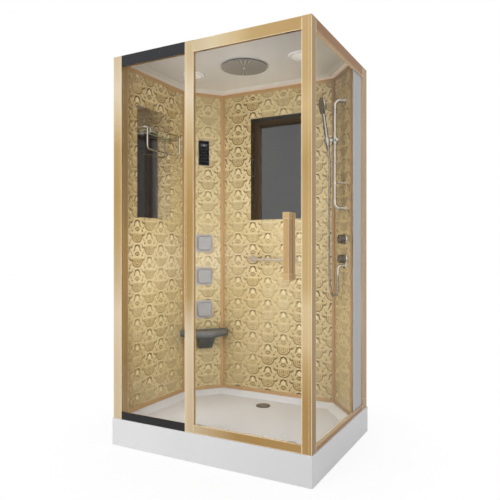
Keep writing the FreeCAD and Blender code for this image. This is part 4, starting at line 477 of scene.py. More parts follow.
def roof(name):
    """Gloss ceiling with painted shade toward the front, the front left and the right, and a
    painted glow on the lip at the walls.
    """
    s = Shader(name)
    x = s.axis("X")
    y = s.axis("Y")
    lip_height = 0.0045
    colour = s.blotch(s.noise(2.0), (228, 225, 219), (234, 232, 227))
    # Painted shade toward the front, the front left and the right
    colour = s.tint(colour, (194, 191, 188), s.span(y, 0.3, -0.4))
    colour = s.tint(colour, (162, 158, 151), s.span(x, 0.1, -0.6), s.span(y, 0.4, -0.4), 0.8)
    colour = s.tint(colour, (178, 174, 168), s.span(x, 0.12, 0.5, 0.0, 0.85))
    # Painted glow on the lip at the walls
    under = s.math("LESS_THAN", s.axis("Z"), WALL_HIGH + lip_height)
    painted_lip_glow = s.product(under, s.span(x, -0.6, -0.3, 0.1, 1.0))
    surface = s.principled(
        s.tint(colour, (234, 218, 204), painted_lip_glow),
        s.vary(s.noise(6.0), 0.3, 0.4),
        Emission_Color=linear((255, 236, 226)),
        Emission_Strength=s.product(painted_lip_glow, 0.03),
    )
    return s.finish(surface)


def enamel(name):
    """Black enamel behind glass, a little greyer at the top."""
    s = Shader(name)
    cloud = s.noise(9.0)
    colour = s.blotch(cloud, (14, 14, 14), (20, 20, 20))
    colour = s.tint(colour, (34, 35, 37), s.span(s.axis("Z"), 1.0, 1.8))
    return s.finish(s.principled(colour, s.vary(cloud, 0.2, 0.3), Specular_IOR_Level=0.35))


def seat(name):
    """Dark grained plastic, lighter grey along the top of the seat as a painted sheen."""
    s = Shader(name)
    cloud = s.noise(18.0)
    colour = s.blotch(cloud, (64, 66, 62), (88, 90, 86))
    # Painted sheen along the top of the seat
    painted_top_sheen = s.span(s.axis("Z"), SEAT_TOP - 0.03, SEAT_TOP - 0.012, 0.0, 0.7)
    colour = s.tint(colour, (122, 122, 124), painted_top_sheen)
    grain = s.bump(s.noise(900.0, detail=2.0), 0.00012)
    return s.finish(s.principled(colour, s.vary(cloud, 0.3, 0.42), 0.0, grain))


def tray(name):
    """White acrylic, with painted shade toward the right and a cool painted shade on faces that
    look up.
    """
    s = Shader(name)
    cloud = s.noise(2.0)
    colour = s.blotch(cloud, (223, 223, 223), (227, 227, 227))
    # Painted shade toward the right, and a cool painted shade on faces that look up
    colour = s.tint(colour, (212, 212, 213), s.span(s.axis("X"), -0.4, 0.6))
    colour = s.tint(colour, (218, 220, 224), s.span(s.axis("Z", s.normal()), 0.4, 0.8))
    return s.finish(s.principled(colour, s.vary(cloud, 0.3, 0.36)))


def nozzle_plate(name):
    """Rubber plate with rings and spokes between its nozzles and a light screw in the middle."""
    s = Shader(name)
    low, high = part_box("overhead_nozzle_plate")
    x = s.math("SUBTRACT", s.axis("X"), (low[0] + high[0]) / 2)
    y = s.math("SUBTRACT", s.axis("Y"), (low[1] + high[1]) / 2)
    out = s.math("SQRT", s.math("ADD", s.product(x, x), s.product(y, y)))
    ring = s.math("COSINE", s.product(out, 2 * math.pi / NOZZLE_RING))
    spoke = s.math("COSINE", s.product(s.math("ARCTAN2", y, x), NOZZLE_SPOKES))
    pattern = s.span(s.math("ADD", ring, spoke), -1.2, 1.2)
    colour = s.mix(pattern, linear((188, 183, 175)), linear((98, 95, 90)))
    colour = s.tint(colour, (238, 232, 224), s.span(out, 0.011, 0.008))
    return s.finish(s.principled(colour, s.vary(s.noise(120.0), 0.4, 0.5), 0.1))


def clear_glass(
    name, letter, tint=(253, 253, 253), body=(200, 192, 170), solid=0.7, gloss_share=0.12
):
    """A pane that lets light straight through, with its own colour on its cut edges.

    The letter is the axis across the pane.
    """
    s = Shader(name)
    face = s.math("GREATER_THAN", s.math("ABSOLUTE", s.axis(letter, s.normal())), 0.6)
    smear = s.noise(5.0, (1.0, 1.0, 0.35), 5.0, 0.6)
    worn = tuple(part * 0.985 for part in tint)
    through = s.node("BsdfTransparent")
    s.link(s.mix(s.span(smear, 0.3, 0.75), linear(tint), linear(worn)), through.inputs[0])
    gloss = s.node("BsdfGlossy")
    gloss.inputs["Color"].default_value = (0.95, 0.97, 0.96, 1.0)
    s.link(s.vary(smear, 0.0, 0.03), gloss.inputs["Roughness"])
    fresnel = s.node("Fresnel")
    fresnel.inputs["IOR"].default_value = 1.2
    share = s.product(fresnel.outputs[0], gloss_share)
    pane = s.mix_shader(share, through.outputs[0], gloss.outputs[0])
    edge = s.principled(linear(body), 0.12, 0.0, None, Coat_Weight=0.5, Alpha=solid)
    return s.finish(s.mix_shader(face, edge, pane))


def clear_seal(name):
    """Soft clear plastic, a little cloudy, cream with a painted glow."""
    s = Shader(name)
    cloud = s.noise(40.0)
    cream = linear((240, 226, 196))
    shine = s.vary(cloud, 0.2, 0.35)
    # Painted glow: the cream seal gives off a little light of its own
    solid = s.principled(cream, shine, Emission_Color=cream, Emission_Strength=0.18)
    through = s.node("BsdfTransparent").outputs[0]
    return s.finish(s.mix_shader(s.vary(cloud, 0.22, 0.34), through, solid))


def mirror_glass(name, low=(98, 98, 98), high=(104, 104, 103), rear=None):
    """Silvered glass with a painted highlight along its bevel, and a painted reflection toward the
    rear if a rear tone is given.
    """
    s = Shader(name)
    cloud = s.noise(2.5, (1.0, 1.0, 0.5))
    colour = s.mix(s.span(cloud, 0.35, 0.65), linear(low), linear(high))
    if rear:
        # Painted reflection of a pale tone toward the rear
        colour = s.tint(colour, rear, s.span(s.axis("Y"), -0.16, -0.02))
    # Painted highlight along the bevel
    colour = s.tint(colour, (186, 178, 164), s.edges(0.006))
    ripple = s.bump(s.noise(40.0), 0.00001)
    return s.finish(s.principled(colour, s.vary(s.noise(14.0), 0.015, 0.05), 0.95, ripple))


def corner_shade(s):
    """How far the print darkens from the back wall's right part to the corner's rear, by height."""
    x = s.axis("X")
    along = s.math("ADD", s.span(x, 0.2, 0.36, 0.0, 0.26), s.span(x, 0.4, 0.5, 0.0, 0.3))
    return s.product(along, s.span(s.axis("Z"), 0.75, 1.4, 0.25, 1.0))


def waist_glow(s):
    """A pale band of light across the left side of the walls, at half height."""
    height = s.span(s.away(s.axis("Z"), 1.03), 0.22, 0.05)
    left = s.span(s.axis("X"), -0.12, -0.24)
    return s.product(height, left, s.span(s.axis("Y"), -0.3, 0.0), 0.25)


def damask_base(name):
    """Cream sheet with a metallic glow that drifts across it, and painted shade and light by place
    on the walls.
    """
    s = Shader(name)
    y = s.axis("Y")
    z = s.axis("Z")
    weave = s.noise(700.0, detail=2.0)
    colour = s.blotch(s.noise(3.4, detail=2.0), (208, 190, 143), (219, 202, 157))
    colour = s.tint(colour, (200, 176, 118), s.vary(weave, 0.0, 0.12))
    # Painted shade toward the right corner
    colour = s.tint(colour, (150, 122, 68), corner_shade(s))
    # Painted light at mid height toward the front, and a painted light band on the left
    waist = s.product(s.span(z, 1.25, 1.1), s.span(z, 0.75, 0.95))
    colour = s.tint(colour, (248, 232, 198), s.span(y, -0.1, -0.36), waist, 0.45)
    colour = s.tint(colour, (252, 242, 220), waist_glow(s))
    # Painted shade toward the front, above and below mid height
    ends = s.math("MAXIMUM", s.span(z, 1.2, 1.4), s.span(z, 0.75, 0.5))
    colour = s.tint(colour, (150, 118, 70), s.span(y, -0.12, -0.34), ends, 0.55)
    # Painted shade low on the back wall
    low_back_shade = s.product(s.span(y, 0.4, 0.418), s.span(z, 1.4, 1.15, 0.0, 0.32))
    colour = s.tint(colour, (180, 154, 110), low_back_shade)
    fabric = s.bump(weave, 0.00005, 0.5)
    return s.finish(s.principled(colour, s.vary(s.noise(11.0), 0.2, 0.34), 0.15, fabric))


def damask_ink(name, pale, deep, corner):
    """Metallic print that reads pale in some places and dark in others, with painted shade toward
    the right corner and painted light on the left.
    """
    s = Shader(name)
    drift = s.noise(2.6, (1.0, 1.0, 0.8), 2.0)
    fleck = s.noise(420.0)
    colour = s.mix(s.span(drift, 0.44, 0.66), linear(pale), linear(deep))
    colour = s.tint(colour, pale, s.vary(fleck, 0.0, 0.2))
    # Painted shade toward the right corner, in the corner colour
    colour = s.tint(colour, corner, s.math("MULTIPLY", corner_shade(s), 1.4, clamp=True))
    # Painted light band on the left
    colour = s.tint(colour, (216, 200, 168), waist_glow(s))
    relief = s.bump(fleck, 0.00008, 0.6)
    return s.finish(s.principled(colour, s.vary(drift, 0.24, 0.4), 0.2, relief))


def hose_steel(name):
    """Polished steel winding, with painted blotches that stand for what it mirrors."""
    s = Shader(name)
    cloud = s.noise(60.0)
    colour = s.blotch(cloud, (146, 142, 134), (196, 192, 184))
    return s.finish(s.principled(colour, s.vary(cloud, 0.16, 0.3), 1.0))


def glow(name, low, high, strength):
    """A lit mark with a slight unevenness."""
    s = Shader(name)
    colour = s.blotch(s.noise(90.0), low, high)
    surface = s.principled(colour, 0.3, Emission_Color=colour, Emission_Strength=strength)
    return s.finish(surface)


# Materials by slot
SLOT_MATERIALS = {
    "gloss_white": plain(
        "gloss_white", (219, 218, 217), (224, 223, 222), (0.2, 0.28), scale=2.0, depth=0.00001
    ),
    "steel": plain("steel", (132, 134, 138), (170, 172, 176), (0.35, 0.5), 0.7, scale=30.0),
    "chrome": chrome("chrome", (196, 193, 188)),
    "chrome_trim": chrome("chrome_trim", (160, 156, 150), (0.12, 0.22)),
    "grey_plastic": plain("grey_plastic", (128, 132, 138), (154, 158, 163), (0.4, 0.55)),
    "gold_frame": gold("gold_frame", (1.0, 1.0, 0.01)),
    "clear_glass": clear_glass("clear_glass", "Y"),
    "black_enamel": enamel("black_enamel"),
    "damask_panel": damask_base("damask_panel"),
    "mirror": mirror_glass("mirror"),
    "gloss_roof": roof("gloss_roof"),
    "lamp_lens": plain("lamp_lens", (236, 234, 228), (250, 249, 246), (0.3, 0.45)),
    "nozzle_rubber": nozzle_plate("nozzle_rubber"),
    "gloss_grey": plain("gloss_grey", (92, 94, 98), (120, 122, 126), (0.12, 0.2), coat=0.4),
    "dark_glass": plain("dark_glass", (10, 10, 12), (16, 16, 19), (0.2, 0.3), specular=0.2),
    "satin_grey": plain(
        "satin_grey", (168, 167, 169), (174, 173, 175), (0.34, 0.42), 0.2, scale=3.0
    ),
    "dark_seat": seat("dark_seat"),
    "hose_steel": hose_steel("hose_steel"),
    "brass": plain("brass", (168, 128, 66), (198, 158, 92), (0.25, 0.4), 0.95, scale=30.0),
    "stainless": plain(
        "stainless", (150, 152, 156), (188, 190, 194), (0.2, 0.34), 1.0, scale=40.0
    ),
    "roller_plastic": plain("roller_plastic", (218, 218, 212), (236, 236, 231), (0.35, 0.5)),
    "clear_seal": clear_seal("clear_seal"),
}

# Materials of single nodes; the slot's wall is a place along X in the two right rails, where the
# gold has a painted glow
SLOT_WALL = 0.582
GOLD_ALONG_X = gold("gold_frame_x", (0.01, 1.0, 1.0), top_rail=True)
# Its two side colours are painted shade on the rails' sides
GOLD_ALONG_Y = gold(
    "gold_frame_y",
    (1.0, 0.01, 1.0),
    (142, 98, 50),
    (146, 102, 54),
    metallic=0.35,
    specular=0.15,
    slot=SLOT_WALL,
)
KNOB_METAL = chrome("satin_knob", (102, 90, 76), (0.2, 0.3), glint=0.06)
NODE_MATERIALS = {
    "tray": tray("tray_white"),
    "drain_cover": plain(
        "satin_drain", (124, 120, 115), (142, 138, 132), (0.35, 0.45), 0.5, scale=40.0
    ),
    "front_top_rail": GOLD_ALONG_X,
    "front_bottom_rail": GOLD_ALONG_X,
    "right_top_rail": GOLD_ALONG_Y,
    "right_bottom_rail": GOLD_ALONG_Y,
    "rear_posts": gold(
        "gold_rear", (1.0, 1.0, 0.01), (150, 118, 76), (158, 128, 88), flutes=0.6, metallic=0.9
    ),
    "side_glass": clear_glass(
        "clear_glass_side", "X", (252, 251, 248), (198, 192, 182), solid=1.0, gloss_share=0.05
    ),
    "side_filler_panel": filler("side_filler"),
    "wall_trim_strips": trim("gold_trim"),
    # The rear tone is a painted reflection
    "left_wall_mirror": mirror_glass(
        "mirror_left", (144, 140, 138), (150, 146, 144), rear=(216, 212, 204)
    ),
    "door_handle": gold_handle("gold_handle"),
    "door_guides": plain("guide_cream", (206, 198, 180), (216, 208, 190), (0.4, 0.5)),
    "jet_sockets": plain(
        "jet_base", (176, 171, 168), (186, 181, 177), (0.35, 0.45), 0.1, scale=4.0
    ),
    "overhead_shower_head": plain(
        "satin_head", (150, 147, 142), (160, 157, 152), (0.35, 0.45), 0.1
    ),
    "glass_shelf": clear_glass(
        "clear_glass_shelf", "Z", (250, 251, 248), (184, 188, 150), solid=0.5
    ),
    "shelf_gallery": chrome("chrome_gallery", (206, 204, 200), glint=0.5, far=(-0.2, 0.05)),
    "back_grab_bar": plain("satin_bar", (184, 172, 156), (198, 186, 170), (0.3, 0.4), 0.3),
    "flow_knob": KNOB_METAL,
    "temperature_knob": KNOB_METAL,
    "hand_shower": chrome("hand_metal", (112, 102, 90), (0.14, 0.24), glint=0.5),
}

for name, piece in NODES.items():
    piece.data.materials.clear()
    if name in NODE_MATERIALS:
        piece.data.materials.append(NODE_MATERIALS[name])
    else:
        piece.data.materials.append(SLOT_MATERIALS[SLOT_OF[name]])


def mesh_piece(name, vertices, faces, material, body="cabin", smooth=False):
    """A mesh of its own that moves with one of the bodies, or with none when body is None."""
    data = bpy.data.meshes.new(name)
    data.from_pydata(vertices, [], faces)
    data.update()
    if smooth:
        data.polygons.foreach_set("use_smooth", [True] * len(data.polygons))
    piece = bpy.data.objects.new(name, data)
    bpy.context.scene.collection.objects.link(piece)
    data.materials.append(material)
    if body:
        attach(piece, body)
    return piece


def on_wall(wall, across, up, off):
    """A point on a wall, given along it and up in millimetres, and off it in metres."""
    start, along, into, _ = WALLS[wall]
    run = across / MM
    return (
        start[0] + along[0] * run + into[0] * off,
        start[1] + along[1] * run + into[1] * off,
        up / MM,
    )


# Outlines of the damask print in millimetres, from the middle of its bowl's rim


def ellipse(x, y, across, up, start=0.0, end=360.0, steps=14):
    """Points of an ellipse, or of its arc between two angles."""
    points = []
    for index in range(steps + 1):
        angle = math.radians(start + (end - start) * index / steps)
        points.append((x + across * math.cos(angle), y + up * math.sin(angle)))
    if abs(end - start) >= 360:
        points.pop()
    return points


def bowl(y, across, down):
    """The lower half of a rounded rectangle, steep at the rim and flat at the bottom."""
    steps = 18
    roundness = 0.78
    points = []
    for index in range(steps + 1):
        angle = math.radians(180 + 180 * index / steps)
        cosine, sine = math.cos(angle), math.sin(angle)
        points.append(
            (
                across * math.copysign(abs(cosine) ** roundness, cosine),
                y + down * math.copysign(abs(sine) ** roundness, sine),
            )
        )
    return points


def band(outer, inner):
    """Quads between two rows of points."""
    return [[outer[i], outer[i + 1], inner[i + 1], inner[i]] for i in range(len(outer) - 1)]


def both_sides(shapes):
    """The shapes and their mirror images."""
    return shapes + [[(-x, y) for x, y in reversed(shape)] for shape in shapes]


def leaf(x0, y0, x1, y1, width, bow=0.0):
    """A pointed leaf from one point to another, bowed to its left."""
    steps = 6
    fullness = 0.7
    dx, dy = x1 - x0, y1 - y0
    length = math.hypot(dx, dy)
    nx, ny = -dy / length, dx / length
    left = []
    right = []
    for index in range(steps + 1):
        share = index / steps
        swell = math.sin(math.pi * share)
        cx = x0 + dx * share + nx * bow * swell
        cy = y0 + dy * share + ny * bow * swell
        half = width / 2 * swell ** fullness
        left.append((cx + nx * half, cy + ny * half))
        right.append((cx - nx * half, cy - ny * half))
    return left + right[-2:0:-1]


COLUMN_WIDTH = 112.0
ROW_HEIGHT = 146.0
ROWS = range(-1, 16)
PRINT_MARGIN = 0.5
INK_LIFT = 0.00012
INK_STEP = 0.00006

# Deep layer: the bowl, the arch high over it, leaves and berries, and a dome on the rim
ARCH_OUTSIDE = [(-27, 44), (-26, 60), (-21, 74), (-12, 82), (0, 84.5)]
ARCH_INSIDE = [(-22, 45), (-20.5, 58), (-14, 69), (-7, 74.5), (0, 77)]
DEEP = band(bowl(0, 48, 52), bowl(0.5, 42.6, 47))
DEEP += both_sides(band(ARCH_OUTSIDE, ARCH_INSIDE))
DEEP += both_sides(
    [
        leaf(43, -13, 73, 6, 10.0, -3.0),
        ellipse(44, 18, 6.6, 6.0, steps=8),
        ellipse(13, 76.5, 6.2, 5.4, steps=8),
        leaf(30, -6, 26, -34, 2.4, 1.0),
        leaf(14, -8, 11, -32, 2.6, 1.0),
        leaf(19, 58, 33, 40, 4.0, 2.0),
        ellipse(56, 52, 2.6, 3.4, steps=6),
        leaf(52, -30, 60, -47, 3.4, 2.0),
    ]
)
DEEP += band(ellipse(0, 19, 21, 22, 8, 172, 12), ellipse(0, 19, 15.5, 16.5, 8, 172, 12))
DEEP += [ellipse(0, 20, 11, 4.4, steps=10), ellipse(0, -36, 12, 2.2, steps=10)]
DEEP += [leaf(0, -4, 0, -22, 6.0)]

# Soft layer: the ground of the bowl and of the dome, with large leaves beside them
SOFT = [bowl(2, 43, 48)]
SOFT += [ellipse(0, 19, 16, 17, 0, 180, 10)]
SOFT += both_sides([leaf(47, 24, 62, 46, 9.0, 4.0), leaf(26, 88, 50, 78, 7.0, 3.0)])

# Pale layer: a bud under the arch, two drops under the bowl, a bar on its rim and small leaves
PALE = [[(-13, 57), (-10, 49.5), (0, 45.5), (10, 49.5), (13, 57), (8, 67), (0, 78), (-8, 67)]]
PALE += [ellipse(x, -59, 5.4, 4.6, steps=8) for x in (-11, 11)]
PALE += [[(-34, 4), (34, 4), (33, 7), (-33, 7)]]
PALE += both_sides([leaf(50, -14, 63, -36, 5.0, 4.0), leaf(30, 66, 44, 52, 5.0, -3.0)])

# Middle of each wall's first column and height of its first rim
FIRST_MOTIF = {
    "left": (12.0, 91.0),
    "left_corner": (-54.5, 92.4),
    "back": (7.5, 25.8),
    "right_corner": (51.2, 11.0),
}


def clipped(shape, low_x, high_x, low_y, high_y):
    """The part of a flat outline that lies inside a rectangle."""
    for axis, limit, sign in ((0, low_x, 1), (0, high_x, -1), (1, low_y, 1), (1, high_y, -1)):
        kept = []
        for index, point in enumerate(shape):
            before = shape[index - 1]
            inside = (point[axis] - limit) * sign >= 0
            was_inside = (before[axis] - limit) * sign >= 0
            if inside != was_inside:
                share = (limit - before[axis]) / (point[axis] - before[axis])
                kept.append(tuple(before[i] + (point[i] - before[i]) * share for i in (0, 1)))
            if inside:
                kept.append(point)
        shape = kept
        if len(shape) < 3:
            return []
    return shape


def print_damask(shapes, name, material, lift):
    """Lays one layer of the print on all four walls, odd columns half a row higher."""
    vertices = []
    faces = []
    low, high = WALL_LOW * MM, WALL_HIGH * MM
    for wall, (first_x, first_rim) in FIRST_MOTIF.items():
        width = WALLS[wall][3] * MM
        first = -int((first_x + COLUMN_WIDTH) // COLUMN_WIDTH) - 1
        last = int((width - first_x) // COLUMN_WIDTH) + 2
        for column in range(first, last + 1):
            x = first_x + column * COLUMN_WIDTH
            rim = first_rim + (ROW_HEIGHT / 2 if column % 2 else 0.0)
            for row in ROWS:
                y = rim + row * ROW_HEIGHT
                for shape in shapes:
                    moved = [(x + px, y + py) for px, py in shape]
                    moved = clipped(moved, PRINT_MARGIN, width - PRINT_MARGIN, low, high)
                    if not moved:
                        continue
                    base = len(vertices)
                    vertices += [on_wall(wall, px, py, lift) for px, py in moved]
                    faces.append(list(range(base, base + len(moved))))
    return mesh_piece(name, vertices, faces, material)


# The last colour of each ink is its painted shade toward the right corner
INK_SOFT = damask_ink("damask_soft", (201, 184, 142), (194, 170, 120), (134, 108, 62))
INK_DEEP = damask_ink("damask_deep", (180, 158, 112), (104, 78, 36), (52, 36, 16))
INK_PALE = damask_ink("damask_pale", (222, 207, 166), (232, 213, 166), (158, 130, 80))
print_damask(SOFT, "damask_print_soft", INK_SOFT, INK_LIFT)
print_damask(DEEP, "damask_print_deep", INK_DEEP, INK_LIFT + INK_STEP)
print_damask(PALE, "damask_print_pale", INK_PALE, INK_LIFT + 2 * INK_STEP)


# Hose: the same route as in the construction, in millimetres from the hose's own line on the wall

HOSE_LINE_X = 0.036
HOSE_RADIUS = 0.0070
HOSE_GROOVE_RADIUS = 0.0063
HOSE_STEP = 0.0011
STEPS_PER_TURN = 3
HOSE_SIDES = 18
RIGHT_CENTRE = (BACK_HALF + CORNER_RUN_X / 2, BACK_FACE - CORNER_RUN_Y / 2)
HOSE_ROUTE = [
    (0, -42, 943.7),
    (0, -42, 896),
    (-3, -43, 850),
    (-35, -45, 816),
    (-80, -47, 818),
    (-109, -50, 853),
    (-110, -53, 910),
    (-105, -58, 1010),
    (-95, -63, 1130),
    (-78, -69, 1260),
    (-55, -75, 1390),
    (-27, -82, 1505),
    (0, -90.3, 1599.2),
    (0, -99.95, 1668.185),
]


def on_right_corner(x, y, z):
    """A point given along the right corner wall from the hose's line, off it and up, in mm."""
    x = x / MM + HOSE_LINE_X
    y = y / MM
    return Vector(
        (
            RIGHT_CENTRE[0] + x * COSINE + y * SINE,
            RIGHT_CENTRE[1] - x * SINE + y * COSINE,
            z / MM,
        )
    )


def hose_centre_line():
    """Points along the smooth curve that has the route's points as its control points."""
    curve = bpy.data.curves.new("hose_line", "CURVE")
    curve.dimensions = "3D"
    curve.resolution_u = 24
    spline = curve.splines.new("NURBS")
    spline.points.add(len(HOSE_ROUTE) - 1)
    for point, place in zip(spline.points, HOSE_ROUTE):
        point.co = (*on_right_corner(*place), 1.0)
    spline.order_u = 3
    spline.use_endpoint_u = True
    line = bpy.data.objects.new("hose_line", curve)
    bpy.context.scene.collection.objects.link(line)
    bpy.context.view_layer.update()
    evaluated = line.evaluated_get(bpy.context.evaluated_depsgraph_get())
    data = bpy.data.meshes.new_from_object(evaluated)
    points = [vertex.co.copy() for vertex in data.vertices]
    bpy.data.objects.remove(line)
    bpy.data.meshes.remove(data)
    return points


def resample(points, step):
    """Points at even steps along a line."""
    made = [points[0].copy()]
    left = step
    for a, b in zip(points, points[1:]):
        run = (b - a).length
        walked = 0.0
        while run - walked >= left:
            walked += left
            made.append(a.lerp(b, walked / run))
            left = step
        left -= run - walked
    if (made[-1] - points[-1]).length > step * 0.2:
        made.append(points[-1].copy())
    return made


def around(centre, side, other, radius, sides):
    """Points of a regular ring round a centre, in the plane of two directions."""
    points = []
    for step in range(sides):
        angle = 2 * math.pi * step / sides
        points.append(centre + (side * math.cos(angle) + other * math.sin(angle)) * radius)
    return points


def tube(name, points, radii, sides, material):
    """A closed round tube along points, with a radius for each, that rides on nothing yet."""
    vertices = []
    faces = []
    side = Vector((1.0, 0.0, 0.0))
    for index, point in enumerate(points):
        ahead = points[min(index + 1, len(points) - 1)]
        behind = points[max(index - 1, 0)]
        way = (ahead - behind).normalized()
        side = (side - way * side.dot(way)).normalized()
        vertices += around(point, side, way.cross(side), radii[index], sides)
    for index in range(len(points) - 1):
        for step in range(sides):
            a = index * sides + step
            b = index * sides + (step + 1) % sides
            faces.append((a, b, b + sides, a + sides))
    last = (len(points) - 1) * sides
    faces.append(tuple(reversed(range(sides))))
    faces.append(tuple(range(last, last + sides)))
    return mesh_piece(name, vertices, faces, material, None, smooth=True)


line = hose_centre_line()
path = resample(line, HOSE_STEP)
winding = [
    HOSE_RADIUS if index % STEPS_PER_TURN else HOSE_GROOVE_RADIUS for index in range(len(path))
]
steel = SLOT_MATERIALS["hose_steel"]
hose = tube("wound_shower_hose", path, winding, HOSE_SIDES, steel)
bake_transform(hose)
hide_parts("shower_hose")


# Nozzles of the overhead shower and of the hand shower

NOZZLE_SIDES = 8
NOZZLE_TIP_SHARE = 0.62
FULL_RINGS_FROM = 4

# Hand shower in millimetres: its face from the handle's line, and its middle from the holder
HEAD_RINGS = 5
HEAD_RING = 9
HEAD_RING_NOZZLES = 6
HEAD_FACE = 27.9
HEAD_MIDDLE = 203
HOLDER_OFF = 86
HOLDER_HEIGHT = 1727
HEAD_LEAN = math.radians(8)
NOZZLE = plain("nozzle_tip", (62, 60, 57), (84, 82, 78), (0.4, 0.55))


def studs(name, places, normal, radius, height, body="cabin"):
    """Small tapered studs standing on a flat face."""
    normal = Vector(normal).normalized()
    side = normal.orthogonal().normalized()
    other = normal.cross(side)
    vertices = []
    faces = []
    for place in places:
        foot = len(vertices)
        top = foot + NOZZLE_SIDES
        vertices += around(Vector(place), side, other, radius, NOZZLE_SIDES)
        tip = Vector(place) + normal * height
        vertices += around(tip, side, other, radius * NOZZLE_TIP_SHARE, NOZZLE_SIDES)
        for step in range(NOZZLE_SIDES):
            following = (step + 1) % NOZZLE_SIDES
            faces.append((foot + step, foot + following, top + following, top + step))
        faces.append(tuple(range(top, top + NOZZLE_SIDES)))
    return mesh_piece(name, vertices, faces, NOZZLE, body)


def overhead_places():
    """Rings on the overhead shower's rubber plate, the inner ones with half the nozzles."""
    low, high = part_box("overhead_nozzle_plate")
    sunk = 0.002
    centre = Vector(((low[0] + high[0]) / 2, (low[1] + high[1]) / 2, low[2] + sunk))
    east, north = Vector((1.0, 0.0, 0.0)), Vector((0.0, 1.0, 0.0))
    places = []
    for ring in range(1, NOZZLE_RINGS + 1):
        count = NOZZLE_SPOKES if ring >= FULL_RINGS_FROM else NOZZLE_SPOKES // 2
        places += around(centre, east, north, NOZZLE_RING * ring, count)
    return places


def handset_places():
    """Rings on the hand shower's leaning face, from one nozzle in the middle."""
    places = []
    for ring in range(HEAD_RINGS):
        count = max(1, ring * HEAD_RING_NOZZLES)
        for step in range(count):
            angle = 2 * math.pi * step / count
            side = ring * HEAD_RING * math.cos(angle)
            up = HEAD_MIDDLE + ring * HEAD_RING * math.sin(angle)
            off = HOLDER_OFF + HEAD_FACE * math.cos(HEAD_LEAN) + up * math.sin(HEAD_LEAN)
            height = HOLDER_HEIGHT - HEAD_FACE * math.sin(HEAD_LEAN) + up * math.cos(HEAD_LEAN)
            places.append(on_right_corner(side, -off, height))
    return places


spray_way = on_right_corner(0, -math.cos(HEAD_LEAN), 0) - on_right_corner(0, 0, 0)
spray_way.z = -math.sin(HEAD_LEAN) / MM
studs("overhead_nozzles", overhead_places(), (0, 0, -1), radius=0.0028, height=0.0018)
studs(
    "handset_nozzles", handset_places(), spray_way, radius=0.0016, height=0.0014, body="handset"
)


# Control panel: sizes and heights in millimetres, places along the left corner wall

PANEL_X = 138.2
DISPLAY_HEIGHT = 1797
DISPLAY_SIZE = (46, 20)
THREE_SHIFT = -5.0
EIGHT_SHIFT = 3.5
KEY_ROWS = 5
KEY_COLUMNS = 3
KEY_PITCH_X = 17
KEY_PITCH_Z = 20
TOP_KEY_HEIGHT = 1770
KEY_SIDE = 6.4
KEY_LINE = 0.9
KEY_DOT = 2.2
KEY_DASH = 3.4

# Distance off the wall in metres, just in front of the panel's glass
MARKS_OFF = 0.0062
FIGURES_OFF = 0.0064

# Strokes of a figure: middle across, middle up, width and height
STROKES = {
    "top": (0.0, 4.0, 3.2, 1.1),
    "middle": (0.0, 0.0, 3.2, 1.1),
    "bottom": (0.0, -4.0, 3.2, 1.1),
    "upper_left": (-2.1, 2.0, 1.1, 3.4),
    "upper_right": (2.1, 2.0, 1.1, 3.4),
    "lower_left": (-2.1, -2.0, 1.1, 3.4),
    "lower_right": (2.1, -2.0, 1.1, 3.4),
}
THREE = ("top", "middle", "bottom", "upper_right", "lower_right")
EIGHT = tuple(STROKES)


def wall_quads(name, rectangles, off, material):
    """Thin rectangles on the left corner wall: middle along it, middle height, width, height."""
    vertices = []
    faces = []
    for x, z, width, height in rectangles:
        base = len(vertices)
        for side, rise in ((-0.5, -0.5), (0.5, -0.5), (0.5, 0.5), (-0.5, 0.5)):
            corner = on_wall("left_corner", x + side * width, z + rise * height, off)
            vertices.append(corner)
        faces.append((base, base + 1, base + 2, base + 3))
    return mesh_piece(name, vertices, faces, material)


def figure_strokes(x, strokes):
    """The strokes of one figure at a place along the wall."""
    rectangles = []
    for stroke in strokes:
        across, up, width, height = STROKES[stroke]
        rectangles.append((x + across, DISPLAY_HEIGHT + up, width, height))
    return rectangles


def key_marks(x, z, dotted):
    """The square outline of a key with a dot or a dash inside."""
    half = KEY_SIDE / 2
    marks = [(x, z + half, KEY_SIDE, KEY_LINE), (x, z - half, KEY_SIDE, KEY_LINE)]
    marks += [(x - half, z, KEY_LINE, KEY_SIDE), (x + half, z, KEY_LINE, KEY_SIDE)]
    marks.append((x, z, KEY_DOT, KEY_DOT) if dotted else (x, z, KEY_DASH, KEY_LINE))
    return marks


DISPLAY = glow("display", (58, 62, 68), (70, 75, 82), 0.03)
FIGURES = glow("figures", (196, 206, 214), (210, 220, 228), 0.2)
MARKS = glow("marks", (72, 74, 79), (86, 88, 94), 0.02)
figures = figure_strokes(PANEL_X + THREE_SHIFT, THREE)
figures += figure_strokes(PANEL_X + EIGHT_SHIFT, EIGHT)
marks = []
for row in range(KEY_ROWS):
    for column in range(KEY_COLUMNS):
        x = PANEL_X + (column - KEY_COLUMNS // 2) * KEY_PITCH_X
        marks += key_marks(x, TOP_KEY_HEIGHT - row * KEY_PITCH_Z, (row + column) % 2 == 0)
wall_quads("control_display", [(PANEL_X, DISPLAY_HEIGHT, *DISPLAY_SIZE)], MARKS_OFF, DISPLAY)
wall_quads("control_figures", figures, FIGURES_OFF, FIGURES)
wall_quads("control_marks", marks, MARKS_OFF, MARKS)


# Camera, light and ground

CAMERA_PLACE = (1.501, -2.728, 1.0908)
CAMERA_TURN = math.radians(28.235)
FLOOR_HEIGHT = -0.0005
FLOOR_SIDE = 30
FLOOR_REAR = 60

scene = bpy.context.scene
camera_data = bpy.data.cameras.new("camera")
camera_data.lens = 38.55
camera_data.sensor_width = 36.0
camera = bpy.data.objects.new("camera", camera_data)
camera.location = CAMERA_PLACE
camera.rotation_euler = (math.radians(90), 0.0, CAMERA_TURN)
scene.collection.objects.link(camera)
scene.camera = camera


